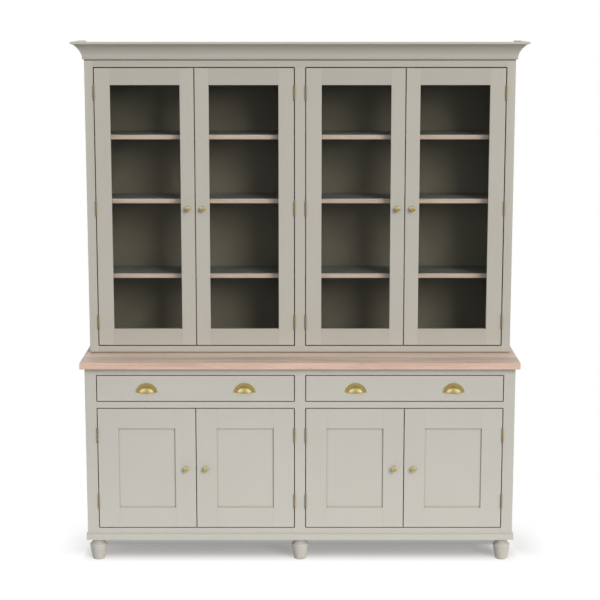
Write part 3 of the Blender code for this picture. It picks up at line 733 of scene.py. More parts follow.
footNodes = [f"foot_{row}_{side}" for row in ("front", "back") for side in ("left", "middle", "right")]
footOutline = easedOutline(foot["outline"], foot["between"])
repeatTurned("turnedFeet", footOutline, foot["steps"], turnedPaint, footSpots, "painted_wood", *footNodes,
             smooth=50)

plinth = {
    "bottomZ": 0.098, "topZ": 0.1267, "projection": 0.006, "depth": 0.018, "rail": 0.09, "stepZ": 0.1246,
    "coveZ": 0.1330, "shoulder": 0.0016, "upright": 0.00096, "edge": 0.0008, "gap": 0.0003,
    "clear": (0.0004, 0.0002), "rounding": 0.0006,
}
out, edge, upright = plinth["projection"], plinth["edge"], plinth["upright"]
frontMoulding("plinthMoulding", [
    (-plinth["depth"], plinth["bottomZ"]), *easedCorner(out, plinth["bottomZ"], edge, 1),
    *easedCorner(out, plinth["stepZ"], edge, -1), (plinth["shoulder"], plinth["stepZ"]),
    (upright, plinth["stepZ"] + edge), (upright, plinth["coveZ"] - edge),
    (seat * 2, plinth["coveZ"]), (seat, plinth["coveZ"]), (seat, plinth["topZ"]),
    (-plinth["depth"], plinth["topZ"]),
], baseHalf, baseY, basePaints,
    lambda face: abs(face.center.x) > baseHalf - 0.001 and abs(face.normal.x) > 0.05, "plinth")
inner, rail, (below, above) = baseHalf - plinth["depth"], plinth["rail"], plinth["clear"]
plinthZ = (plinth["bottomZ"] + below, plinth["topZ"] - above)
middleY = (baseY + rail + plinth["gap"], wallY - rail - plinth["gap"])
board("plinthRails", [
    ((-inner, inner), (wallY - rail, wallY - below), plinthZ),
    ((-inner, inner), (baseY + plinth["depth"], baseY + rail), plinthZ),
    *[((side * inner, side * (baseHalf - rail)), middleY, plinthZ) for _, side in sides],
    ((-rail / 2, rail / 2), middleY, plinthZ),
], birchLevel, "painted_wood", rounding=plinth["rounding"])
print("feet and plinth made")

joints = {
    "width": 0.00035, "depth": 0.0004, "edge": 0.0013, "corner": 0.004, "rub": 0.0005, "rackRub": 0.0008,
    "shadowGap": 0.002, "shadowLine": (2.1808, 2.1848, 0.005), "past": 0.001, "through": 0.01,
}


# Paint rubbed back where a leaf or a drawer meets its opening
def rubbed(span, way=1, rub=joints["rub"]):
    low, high = sorted(span)
    return low + way * rub, high - way * rub


# Hairlines where the members of a frame are jointed, on the front and on the back
def jointLines(lines, faceY):
    half, deep, past = joints["width"] / 2, joints["depth"], joints["past"]
    rearY = faceY + frameThick
    blocks = []
    for ySpan in ((faceY - past, faceY + deep), (rearY - deep, rearY + past)):
        for xSpan, zSpan in lines:
            if isinstance(xSpan, tuple):
                blocks.append((xSpan, ySpan, (zSpan - half, zSpan + half)))
            else:
                blocks.append(((xSpan - half, xSpan + half), ySpan, zSpan))
    return blocks


# A jointed frame: rails are the heights between which the grain runs level
def jointedFrame(name, paints, xSpan, faceY, zSpan, openings, lines, rails, stilesX, corner):
    source = bmesh.new()
    addBlock(source, xSpan, (faceY, faceY + frameThick), zSpan)
    piece = newPiece(name, source, [paints["z"], paints["x"]])
    through = (faceY - joints["through"], faceY + frameThick + joints["through"])
    carve(piece, [(x, through, z) for x, z in openings], corner)
    roundOver(piece, joints["edge"])
    carve(piece, jointLines(lines, faceY))
    dress(piece)
    for face in piece.data.polygons:
        x, _, z = face.center
        level = any(low < z < high for low, high in rails) and any(low < x < high for low, high in stilesX)
        face.material_index = int(level)
    return piece


bottomZ, topZ = dresser["carcassZ"], dresser["worktopZ"] - seat
cupZ, drawZ = dresser["cupboardZ"], dresser["drawerZ"]
rails = [(bottomZ, cupZ[0]), (cupZ[1], drawZ[0]), (drawZ[1], topZ)]
lines = [(side * baseOpenX, span) for _, side in sides for span in rails]
lines += [(side * mullionHalf, rails[1]) for _, side in sides]
lines += [((-mullionHalf, mullionHalf), z) for z in (cupZ[0], drawZ[1])]
openings = [(rubbed((side * mullionHalf, side * baseOpenX), -1), rubbed(span, -1)) for _, side in sides
            for span in (cupZ, drawZ)]
fit(jointedFrame("baseFaceFrame", basePaints, (-baseHalf, baseHalf), baseY, (bottomZ, topZ), openings, lines,
                 rails, [(-baseOpenX, -mullionHalf), (mullionHalf, baseOpenX)], joints["corner"]),
    "carcass", "painted_wood", "base_face_frame")

bottomZ, topZ, glazedZ = dresser["rackZ"] + joints["shadowGap"], dresser["rackTopZ"], dresser["glazedZ"]
rails = [(bottomZ, glazedZ[0]), (glazedZ[1], topZ)]
lines = [(side * rackOpenX, span) for _, side in sides for span in rails]
lines += [((-mullionHalf, mullionHalf), z) for z in glazedZ]
openings = [(rubbed((side * mullionHalf, side * rackOpenX), -1, joints["rackRub"]),
             rubbed(glazedZ, -1, joints["rackRub"])) for _, side in sides]
rackFrame = jointedFrame("rackFaceFrame", shadedRackPaints, (-rackHalf, rackHalf), rackY, (bottomZ, topZ), openings,
                         lines, rails, [(-rackOpenX, rackOpenX)], joints["corner"])
# a shadow line on the frieze, under the cornice
lineLow, lineHigh, lineDeep = joints["shadowLine"]
carve(rackFrame, [((-1, 1), (rackY - joints["past"], rackY + lineDeep), (lineLow, lineHigh))])
dress(rackFrame)
fit(rackFrame, "carcass", "painted_wood", "rack_face_frame")
print("face frames made")

# Carcass boards
boards = {"backRounding": 0.0005, "levelRounding": 0.0006, "topRounding": 0.0022}
for prefix, paints, half, faceY, lowZ, highZ, wallLowZ, wallHighZ in (
    ("base", basePaints, baseHalf, baseY, dresser["carcassZ"], dresser["worktopZ"] - seat,
     cupZ[0] + seat, dresser["worktopZ"] - seat),
    ("rack", shadedRackPaints, rackHalf, rackY, dresser["rackZ"] + seat, dresser["rackTopZ"],
     glazedZ[0] + seat, dresser["topBoardZ"] - seat),
):
    frontY = faceY + frameThick + seat
    for name, side in sides:
        spans = ((side * (half - thick), side * half), (frontY, wallY), (lowZ, highZ))
        board(f"{prefix}Side_{name}", spans, paints["z"], "painted_wood", f"{prefix}_side_{name}",
              other=(insideUpright, 0, -side))
    spans = ((-thick / 2, thick / 2), (frontY, dresser["insideBackY"] - seat), (wallLowZ, wallHighZ))
    board(f"{prefix}Partition", spans, insideUpright, "painted_inside", f"{prefix}_partition")
    board(f"{prefix}BackPanel", spansOf(f"{prefix}_back"), birchUpright, "painted_inside", f"{prefix}_back",
          rounding=boards["backRounding"], other=(insideUpright, 1, -1))
for node in ("base_floor", "rack_floor", "rack_top_board"):
    board(node.replace("_", "") + "Board", spansOf(node), insideLevel, "painted_inside", node,
          rounding=boards["levelRounding"])
board("oakWorktop", spansOf("worktop"), oakLevel, "oiled_oak", "worktop", rounding=boards["topRounding"],
      segments=4, other=(oakTopShadeSheen, 2, 1), turned=0.8)

# Shelves: painted, with an oak lip along the front, on brass pegs
shelfLip = {"depth": 0.012, "gap": 0.0001, "rounding": 0.0018, "shelfRounding": 0.001}
pegs = {"Width": 0.005, "Length": 0.009, "Collar Width": 0.0085, "Collar Height": 0.0008,
        "Finish": satinBrass, "inset": 0.035, "out": 0.0008}
pegSpots = []
for node in [n for n in nodes if "shelf" in n]:
    xSpan, (frontY, rearY), zSpan = spansOf(node)
    lipY = frontY + shelfLip["depth"]
    board(f"painted_{node}", (xSpan, (lipY + shelfLip["gap"], rearY), zSpan), insideLevel, "painted_inside",
          node, rounding=shelfLip["shelfRounding"], other=(coolShelfTops, 2, 1))
    board(f"lip_{node}", (xSpan, (frontY, lipY), zSpan), oakLipShade, "oiled_oak", rounding=shelfLip["rounding"])
    pegSpots += [((x, y, zSpan[0] - seat - pegs["Width"] / 2), (way, 0, 0))
                 for x, way in ((xSpan[0] - pegs["out"], 1), (xSpan[1] + pegs["out"], -1))
                 for y in (frontY + pegs["inset"], rearY - pegs["inset"])]
print("carcass boards, worktop and shelves made")
setOut("brassShelfPegs", shelfPegs, pegSpots, pegs, "carcass", "satin_brass")

cornice = {
    "z": 2.185, "height": 0.076, "projection": 0.0525, "topFlat": 0.028, "fillet": 0.0098, "step": 0.0078,
    "bead": 0.0085, "beadHeight": 0.0078, "beadFoot": 0.0046, "beadBulge": 1.2, "quirk": 0.0016,
    "coveSag": 0.0077, "backRise": 0.03, "ease": 0.0009, "beadSteps": 6, "coveSteps": 26,
}
base, head, far, ease = cornice["z"], cornice["z"] + cornice["height"], cornice["projection"], cornice["ease"]
beadTop, filletZ = base + cornice["beadHeight"], head - cornice["fillet"]
quirkX = cornice["bead"] - cornice["quirk"]
frontMoulding("corniceMoulding", [
    (seat, base), (cornice["beadFoot"], base),
    *arcPoints((cornice["beadFoot"], base), (cornice["bead"] - ease * 0.4, beadTop),
               -ease * cornice["beadBulge"], cornice["beadSteps"])[1:],
    (quirkX, beadTop),
    *arcPoints((quirkX, beadTop), (far - cornice["step"], filletZ), cornice["coveSag"],
               cornice["coveSteps"])[1:],
    *easedCorner(far, filletZ, ease, 1), *easedCorner(far, head, ease, -1),
    (far - cornice["topFlat"], head), (seat, base + cornice["backRise"]),
], rackHalf, rackY, corniceLitShadedPaints,
    lambda face: abs(face.center.x) > rackHalf and abs(face.normal.y) < 0.05, "cornice")
print("cornice made")

# Hinges: leaves in brass with slotted screws, knuckles on the axis

hinge = {
    "length": 0.065, "knuckles": 5, "width": 0.006, "proud": 0.0033, "leafNear": 0.0002, "letIn": 0.0008,
    "leafMargin": 0.003, "neckDepth": 0.003, "eased": 0.0004, "pinWidth": 0.0031, "pinLength": 0.0662,
    "pinEnd": ((0.8, 0.0001), (1.0, 0.0005)), "pinSteps": 14,
    "screw": (0.0058, 0.0005, 0.0008), "screwOut": 0.0002, "screwRise": 0.0224, "screwStep": 0.0032,
}


# The leaves and necks of one half, towards the side of the axis that it is screwed to
def hingeHalf(name, axes, toward, first, faceY, body):
    source = bmesh.new()
    pitch = (hinge["length"] + seat) / hinge["knuckles"]
    turns = range(first, hinge["knuckles"], 2)
    axisY, near = faceY - hinge["proud"], hinge["leafNear"]
    leafY = (faceY + joints["edge"], faceY + frameThick - hinge["leafMargin"])
    knuckleSpots, screwSpots = [], []
    for x, side, centres in axes:
        way = side * toward
        leafX = (x + way * near, x + way * (gapHalf + hinge["letIn"]))
        neckX = (x + way * near, x + way * (gapHalf - near))
        for centre in centres:
            low = centre - hinge["length"] / 2
            addBlock(source, leafX, leafY, (low, low + hinge["length"]))
            for turn in turns:
                zSpan = (low + turn * pitch, low + (turn + 1) * pitch - seat)
                addBlock(source, neckX, (axisY, faceY + hinge["neckDepth"]), zSpan)
            knuckleSpots.append(((x, axisY, centre), (0, 0, 1)))
            for rise, step in ((-1, 1), (0, -1), (1, 1)):
                screwSpots.append(((x + way * (near + hinge["screwOut"]),
                                    (leafY[0] + leafY[1]) / 2 + step * hinge["screwStep"],
                                    centre + rise * hinge["screwRise"]), (-way, 0, 0)))
            if first == 0:
                tip, radius = hinge["pinLength"] / 2, hinge["pinWidth"] / 2
                upper = [(0, tip)] + [(radius * share, tip - drop) for share, drop in hinge["pinEnd"]]
                outline = upper + [(out, -rise) for out, rise in reversed(upper)]
                turnOutline(source, outline, hinge["pinSteps"], Matrix.Translation((x, axisY, centre)))
    leaves = newPiece(f"{name}Leaves", source, [agedBrass])
    dress(leaves, 40)
    fit(leaves, body, "satin_brass")
    setOut(f"{name}Knuckles", hingeKnuckles, knuckleSpots, {
        "Count": len(turns), "Start": (first - (hinge["knuckles"] - 1) / 2) * pitch, "Pitch": pitch * 2,
        "Length": pitch - seat, "Width": hinge["width"], "Eased": hinge["eased"], "Finish": agedBrass,
    }, body, "satin_brass", smooth=50)
    driveScrews(f"{name}Screws", screwSpots, hinge["screw"], body, agedBrass)


# Doors: frames, beads, hinges and knobs

knob = {
    "steps": 48, "between": 4, "screw": (0.008, 0.0018, 0.0012), "screwOut": 0.0009, "outline": [
        (0, 0.0225), (0.0052, 0.0221), (0.0090, 0.0207), (0.0115, 0.0182), (0.0124, 0.0157),
        (0.0117, 0.0132), (0.0092, 0.0118), (0.0062, 0.0104), (0.0049, 0.0083), (0.0049, 0.0048),
        (0.0060, 0.0026, 1), (0.0077, 0.0023), (0.0082, 0.0012), (0.0082, 0.0, 1), (0, 0, 1),
    ],
}
cupboardDoor = {
    "prefix": "cupboard", "paints": basePaints, "faceY": baseY, "bottomZ": 0.1545, "height": 0.535,
    "width": 0.426125, "outerAxis": 0.88175, "hingeStile": 0.0895, "meetingStile": 0.0895, "rail": 0.0895,
    "knobInset": 0.042, "hingeCentres": (0.1185, 0.4165), "rebate": None, "rub": joints["rub"],
    "pane": "cupboard_panel", "paneFinish": basePaints["z"], "stopZ": (0.678, 0.7022),
}
glazedDoor = {
    "prefix": "glazed", "paints": shadedRackPaints, "faceY": rackY, "bottomZ": 0.93, "height": 1.2195,
    "width": 0.431125, "outerAxis": 0.89175, "hingeStile": 0.068, "meetingStile": 0.0615, "rail": 0.074,
    "knobInset": 0.0315, "hingeCentres": (0.106, 0.60975, 1.1135), "rebate": 0.0135, "rub": joints["rackRub"],
    "pane": "glass_pane", "paneFinish": floatGlass, "stopZ": (2.136, 2.1598),
}
bead = {
    "width": 0.0076, "inset": 0.0008, "backInset": 0.0004, "round": (0.0030, 0.0028, 0.0006), "room": 0.0004,
    "cutDepth": 0.03, "roundSteps": 5,
}


def makeDoor(door, label, axisX, hand):
    prefix, faceY, rub = door["prefix"], door["faceY"], door["rub"]
    body = f"{prefix}_leaf_{label}"
    near, far = axisX + hand * gapHalf, axisX + hand * (gapHalf + door["width"])
    low, high = door["bottomZ"], door["bottomZ"] + door["height"]
    openX = sorted((near + hand * door["hingeStile"], far - hand * door["meetingStile"]))
    openZ = (low + door["rail"], high - door["rail"])
    rails = [(low, openZ[0]), (openZ[1], high)]
    leaf = jointedFrame(f"{prefix}Frame_{label}", door["paints"], rubbed((near, far), 1, rub), faceY,
                        rubbed((low, high), 1, rub), [(openX, openZ)],
                        [(x, span) for x in openX for span in rails], rails, [openX], 0.0)
    if door["rebate"]:
        wide = bead["width"] + bead["room"]
        carve(leaf, [((openX[0] - wide, openX[1] + wide), (faceY + door["rebate"], faceY + bead["cutDepth"]),
                      (openZ[0] - wide, openZ[1] + wide))])
        dress(leaf)
        glazingBeads(label, openX, openZ, faceY, body)
    fit(leaf, body, "painted_wood", f"{prefix}_door_{label}")
    centres = [low + centre for centre in door["hingeCentres"]]
    hingeHalf(f"{prefix}Hinge_{label}_", [(axisX, hand, centres)], 1, 1, faceY, body)
    knobX, knobZ = far - hand * door["knobInset"], (low + high) / 2
    source = bmesh.new()
    place = Matrix.Translation((knobX, faceY - seat * 0.5, knobZ)) @ Matrix.Rotation(math.pi / 2, 4, "X")
    turnOutline(source, easedOutline(knob["outline"], knob["between"]), knob["steps"], place)
    brassKnob = newPiece(f"{prefix}Knob_{label}_brass", source, [satinBrass])
    dress(brassKnob, 45)
    fit(brassKnob, body, "satin_brass", f"{prefix}_knob_{label}")
    screwSpot = ((knobX, faceY + frameThick + knob["screwOut"], knobZ), (0, 1, 0))
    driveScrews(f"{prefix}KnobScrew_{label}", [screwSpot], knob["screw"], body)
    return axisX, hand, centres


# Beads hold the glass from behind, mitred at the corners
def glazingBeads(label, openX, openZ, faceY, body):
    rearY, frontY = faceY + frameThick - bead["backInset"], faceY + glazedDoor["rebate"] + seat
    start, drop, sag = bead["round"]
    outline = [(bead["inset"], frontY), (bead["width"], frontY), (bead["width"], rearY), (start, rearY),
               *arcPoints((start, rearY), (bead["inset"], faceY + frameThick - drop), sag,
                          bead["roundSteps"])[1:]]
    corners = [((openX[right], 0, openZ[top]), (2 * right - 1, 0, 2 * top - 1))
               for right, top in ((0, 0), (1, 0), (1, 1), (0, 1))]
    source = bmesh.new()
    runMoulding(source, outline, corners, (0, 1, 0), closed=True)
    beads = newPiece(f"glazingBeads_{label}", source, [shadedRackPaints["z"]])
    dress(beads, 40)
    fit(beads, body, "painted_wood")


for door in (cupboardDoor, glazedDoor):
    innerAxis, outerAxis = mullionHalf + gapHalf, door["outerAxis"]
    axes = (("left_outer", -outerAxis, 1), ("left_inner", -innerAxis, -1),
            ("right_inner", innerAxis, 1), ("right_outer", outerAxis, -1))
    leafAxes = [makeDoor(door, label, x, hand) for label, x, hand in axes]
    hingeHalf(f"{door['prefix']}Hinge_frame_", leafAxes, -1, 0, door["faceY"], "carcass")
    for label, _, _ in axes:
        nodes[f"{door['pane']}_{label}"].data.materials[0] = door["paneFinish"]
print("doors, hinges and knobs made")

# Cup pulls, revolved halfway round: dome, groove and flange

cupPull = {
    "width": 0.096, "height": 0.0435, "projection": 0.0222, "wall": 0.0016, "domeWidth": 0.0680,
    "domeHeight": 0.0272, "spacing": 0.424, "z": 0.7613, "domeRings": 14, "domePower": 0.9, "turns": 44,
    "rounding": 0.0004,
    # share of the way across the flange, and how far it stands off
    "flange": [(0.06, 0.0), (0.14, 0.0002), (0.3, 0.0005), (0.6, 0.0007), (0.88, 0.0006), (0.96, 0.0003),
               (1.0, 0.0)],
}


def makePull(name, x, node, body):
    pull, steps = cupPull, cupPull["turns"]
    domeHalf, domeHeight = pull["domeWidth"] / 2, pull["domeHeight"]
    stations = []
    for ring in range(pull["domeRings"] + 1):
        lift = ring / pull["domeRings"] * math.pi / 2
        out = (pull["projection"] - pull["wall"] - seat) * math.cos(lift) ** pull["domePower"]
        stations.append((domeHalf * math.sin(lift), domeHeight * math.sin(lift), out))
    stations += [(domeHalf + (pull["width"] - pull["domeWidth"]) / 2 * share,
                  domeHeight + (pull["height"] - domeHeight) * share, out) for share, out in pull["flange"]]
    source = bmesh.new()
    turns = [math.pi * step / steps for step in range(steps + 1)]
    faceY = baseY - pull["wall"] - seat
    rows = [[source.verts.new((x + across * math.cos(turn), faceY - out, pull["z"] + up * math.sin(turn)))
             for turn in (turns if across > 1e-6 else [0])] for across, up, out in stations]
    joinRows(source, rows, [(step, step + 1) for step in range(steps)])
    if sum(face.normal.y for face in source.faces) > 0:
        bmesh.ops.reverse_faces(source, faces=source.faces)
    piece = newPiece(name, source, [satinBrass])
    change(piece, "SOLIDIFY", thickness=pull["wall"], offset=-1, use_even_offset=True)
    roundOver(piece, pull["rounding"], 2)
    dress(piece, 55)
    piece.visible_shadow = False
    fit(piece, body, "satin_brass", node)


# Drawers: painted fronts, dovetailed birch boxes, and the bolts behind the pulls

drawer = {
    "wall": 0.012, "sideGap": 0.003, "bottomZ": 0.723, "frontTop": 0.836, "boxTop": 0.82, "boxBack": 0.219,
    "tails": 3, "tailInset": 0.16, "tailSlope": 0.0022, "tailLap": 0.0004,
    "clear": 0.0001, "bottomRise": (0.002, 0.008), "bolt": (0.009, 0.002, 0.0014), "boltSpread": 0.038,
    "boltRise": 0.006, "boltOut": 0.001,
    "round": {"Side": 0.0003, "Back": 0.0004, "Pins": 0.0002, "Bottom": 0.0003, "Front": 0.0012},
}


# A board's outline with tails at its ends, pushed through its thickness along X
def dovetailedSide(name, xSpan, ySpan, zSpan, body):
    slope, shoulderY = drawer["tailSlope"], ySpan[1] - drawer["wall"]
    pitch = (zSpan[1] - zSpan[0]) / drawer["tails"]
    inset = pitch * drawer["tailInset"]
    line = [(ySpan[0], zSpan[0]), (shoulderY, zSpan[0])]
    for tail in range(drawer["tails"]):
        low, high = zSpan[0] + tail * pitch, zSpan[0] + (tail + 1) * pitch
        line += [(shoulderY, low + inset + slope), (ySpan[1], low + inset),
                 (ySpan[1], high - inset), (shoulderY, high - inset - slope)]
    line += [(shoulderY, zSpan[1]), (ySpan[0], zSpan[1])]
    source = bmesh.new()
    low, high = sorted(xSpan)
    face = source.faces.new([source.verts.new((low, y, z)) for y, z in line])
    pushed = bmesh.ops.extrude_face_region(source, geom=[face])["geom"]
    bmesh.ops.translate(source, verts=[part for part in pushed if isinstance(part, bmesh.types.BMVert)],
                        vec=(high - low, 0, 0))
    bmesh.ops.recalc_face_normals(source, faces=source.faces)
    piece = newPiece(name, source, [birchDeep])
    roundOver(piece, drawer["round"]["Side"], 1)
    dress(piece, 30)
    fit(piece, body, "oiled_oak")


def makeDrawer(name, side):
    body, wall, lap, clear = f"{name}_drawer", drawer["wall"], drawer["tailLap"], drawer["clear"]
    spans = (rubbed((side * (mullionHalf + dresser["gap"]), side * (baseOpenX - dresser["gap"]))),
             (baseY, baseY + frameThick), rubbed((drawer["bottomZ"], drawer["frontTop"])))
    board(f"drawerFront_{name}", spans, basePaints["x"], "painted_wood", f"drawer_{name}", body=body,
          rounding=drawer["round"]["Front"], segments=3)
    nearX, farX = side * (mullionHalf + drawer["sideGap"]), side * (baseOpenX - drawer["sideGap"])
    frontY, rearY, zSpan = baseY + frameThick, drawer["boxBack"], (drawer["bottomZ"], drawer["boxTop"])
    insideX = (nearX + side * (wall + clear), farX - side * (wall + clear))
    pitch = (zSpan[1] - zSpan[0]) / drawer["tails"]
    half = pitch * drawer["tailInset"]
    pins = []
    for label, x, way in (("near", nearX, side), ("far", farX, -side)):
        dovetailedSide(f"drawerSide_{name}_{label}", (x, x + way * wall), (frontY + seat, rearY), zSpan, body)
        for tail in range(drawer["tails"] + 1):
            middle = zSpan[0] + tail * pitch
            pinZ = (max(zSpan[0], middle - half + lap), min(zSpan[1], middle + half - lap))
            pins.append(((x, x + way * wall), (rearY - wall + lap, rearY - seat), pinZ))
    bottomZ = [drawer["bottomZ"] + rise for rise in drawer["bottomRise"]]
    for part, spans, finish in (
        ("Back", (insideX, (rearY - wall, rearY - 2 * clear), zSpan), birchLevel),
        ("Pins", pins, birchUpright),
        ("Bottom", (insideX, (frontY + seat, rearY - wall - clear), bottomZ), birchLevel),
    ):
        board(f"drawer{part}_{name}", spans, finish, "oiled_oak", body=body, rounding=drawer["round"][part])
    bolts = []
    for label, offset in (("outer", side), ("inner", -side)):
        x = side * (mullionHalf + baseOpenX) / 2 + offset * cupPull["spacing"] / 2
        makePull(f"cupPull_{name}_{label}_brass", x, f"cup_pull_{name}_{label}", body)
        bolts += [((x + way * drawer["boltSpread"], frontY + drawer["boltOut"],
                    cupPull["z"] + drawer["boltRise"]), (0, 1, 0)) for way in (-1, 1)]
    driveScrews(f"pullBolts_{name}", bolts, drawer["bolt"], body)


for name, side in sides:
    makeDrawer(name, side)
print("drawers and pulls made")

# Runners, stops and back screws

runner = {
    "z": (0.7027, 0.7227), "y": (-0.2034, 0.240), "reach": 0.017, "clear": 0.0001, "rounding": 0.001,
    "screwY": (-0.15, 0.02, 0.19), "screwInsets": (0.022, 0.015), "screwOut": 0.0002,
    "screw": (0.007, 0.0008, 0.0011),
}
runnerScrews = []
for name, side in sides:
    outerX, innerX = side * (baseHalf - thick - runner["clear"]), side * (thick / 2 + runner["clear"])
    spans = [((outerX, side * (baseOpenX - runner["reach"])), runner["y"], runner["z"]),
             ((innerX, side * (mullionHalf + runner["reach"])), runner["y"], runner["z"])]
    board(f"drawerRunners_{name}", spans, birchDeep, "oiled_oak", rounding=runner["rounding"])
    outerInset, innerInset = runner["screwInsets"]
    runnerScrews += [((x, y, runner["z"][0] - runner["screwOut"]), (0, 0, -1))
                     for x in (outerX - side * outerInset, side * (thick / 2 + innerInset))
                     for y in runner["screwY"]]
driveScrews("runnerScrews", runnerScrews, runner["screw"], "carcass")

# Blocks that the doors close against, each with two round magnets
stop = {
    "length": 0.07, "depth": 0.016, "behind": 0.0008, "rounding": 0.001, "magnetSpread": 0.02,
    "magnetRise": 0.006, "magnetOut": 0.0001, "magnetSteps": 20,
    "magnet": [(0, 0.0004), (0.0046, 0.0004), (0.005, 0.0), (0.005, -0.001), (0, -0.001)],
}
magnets = []
for door in (cupboardDoor, glazedDoor):
    zSpan, frontY = door["stopZ"], door["faceY"] + frameThick + stop["behind"]
    meetX = (door["outerAxis"] + mullionHalf + gapHalf) / 2
    blocks = [((side * meetX - stop["length"] / 2, side * meetX + stop["length"] / 2),
               (frontY, frontY + stop["depth"]), zSpan) for _, side in sides]
    board(f"{door['prefix']}StopBlocks", blocks, birchLevel, "oiled_oak", rounding=stop["rounding"])
    magnets += [((side * meetX + way * stop["magnetSpread"], frontY - stop["magnetOut"],
                  zSpan[0] + stop["magnetRise"]), (0, -1, 0)) for _, side in sides for way in (-1, 1)]
repeatTurned("stopMagnets", stop["magnet"], stop["magnetSteps"], zincSteel, magnets, "satin_brass")

# Screws that fix the back panels
backFixing = {"inset": 0.01, "endInset": 0.012, "pitch": 0.22, "columns": 8, "screw": (0.007, 0.0009, 0.0011)}
backScrews = []
for node in ("rack_back", "base_back"):
    (xLow, xHigh), _, (zLow, zHigh) = spansOf(node)
    rows, columns = max(2, round((zHigh - zLow) / backFixing["pitch"])), backFixing["columns"]
    zLow, zHigh = zLow + backFixing["endInset"], zHigh - backFixing["endInset"]
    spots = [(x, zLow + (zHigh - zLow) * row / rows) for row in range(rows + 1)
             for x in (xLow + backFixing["inset"], 0.0, xHigh - backFixing["inset"])]
    spots += [(xLow + (xHigh - xLow) * column / columns, z) for column in range(1, columns)
              if column != columns / 2 for z in (zLow, zHigh)]
    backScrews += [((x, wallY - 2 * seat, z), (0, 1, 0)) for x, z in spots]
driveScrews("backScrews", backScrews, backFixing["screw"], "carcass")
print("runners, stops and screws made")


# Floor, light and camera

studio = {
    "floorHalf": 14.0, "floorGreys": (0.12, 0.82), "mirrorGreys": (0.5, 1.2), "paperReach": (1.4, 3.2),
    # the floor seen under the dresser, by its depth: its tone in the lamps' light, lifted there as painted
    # light, and a painted shadow that glows at set greys
    "under": ((-0.250, 1.24, 0.70), (-0.166, 1.24, 0.68), (-0.140, 1.26, 0.53), (-0.111, 1.35, 0.44),
              (-0.083, 1.75, 0.386), (-0.040, 2.5, 0.347), (0.003, 3.2, 0.334), (0.034, 3.6, 0.330),
              (0.044, 4.0, 0.385)),
    "glowShare": 0.72, "deepY": (-0.02, 0.03),
    # how much of the shadow beside it is kept, left and right, and where it fades to the white paper
    "sideX": (0.90, 0.97), "sideKept": (-0.5, 0.5, 0.235, 0.44), "sideCore": (0.015, 0.98, -0.06),
    "sideFade": (0.01, 0.12), "fadeFront": (-0.165, -0.237), "fadeBack": (0.06, 0.37),
    "ambient": 0.40, "ambientColour": (0.985, 0.99, 1.0, 1),
    # what metal and glass mirror: a grey room, darker at the horizon, and two soft boxes
    "roomGrey": 0.72, "roomEdge": (-0.3, 0.1), "horizon": (0.05, 0.30), "horizonGrey": 0.62,
    "boxEdge": (0.66, 0.94), "boxes": ((60.0, 22.0, 1.10), (-62.0, 26.0, 0.95)),
    "lamps": {
        "keyLamp": {"turn": 34.0, "height": 26.0, "distance": 34.0, "size": (12.5, 23.4), "power": 8550,
                    "colour": (1.0, 0.99, 0.97)},
        "leftLamp": {"turn": -35.0, "height": 30.0, "distance": 34.0, "size": (16.3, 16.3), "power": 620,
                     "colour": (0.97, 0.985, 1.0)},
    },
    "aim": (0.0, 0.0, 0.9),
    "camera": {"place": (0.0, -7.3307, 2.4119), "tilt": 80.075, "lens": 100.8, "sensor": 36.0},
}


# Where a lamp or a soft box stands, from its turn round the dresser and its height in degrees
def wayTo(turn, height):
    turn, height = math.radians(turn), math.radians(height)
    return Vector((math.sin(turn) * math.cos(height), -math.cos(turn) * math.cos(height), math.sin(height)))


# A column of studio["under"] as a ramp over the depth
def depthRamp(y, column):
    rows = studio["under"]
    front, back, tallest = rows[0][0], rows[-1][0], max(row[column] for row in rows)
    ramp = addNode(y.tree, "ShaderNodeValToRGB", {"Fac": spread(y, front, back)})
    stops = ramp.node.color_ramp.elements
    stops.remove(stops[1])
    for index, row in enumerate(rows):
        share = (row[0] - front) / (back - front)
        stop = stops[0] if index == 0 else stops.new(share)
        stop.position = share
        stop.color = [row[column] / tallest] * 3 + [1]
    return ramp["Color"] * tallest


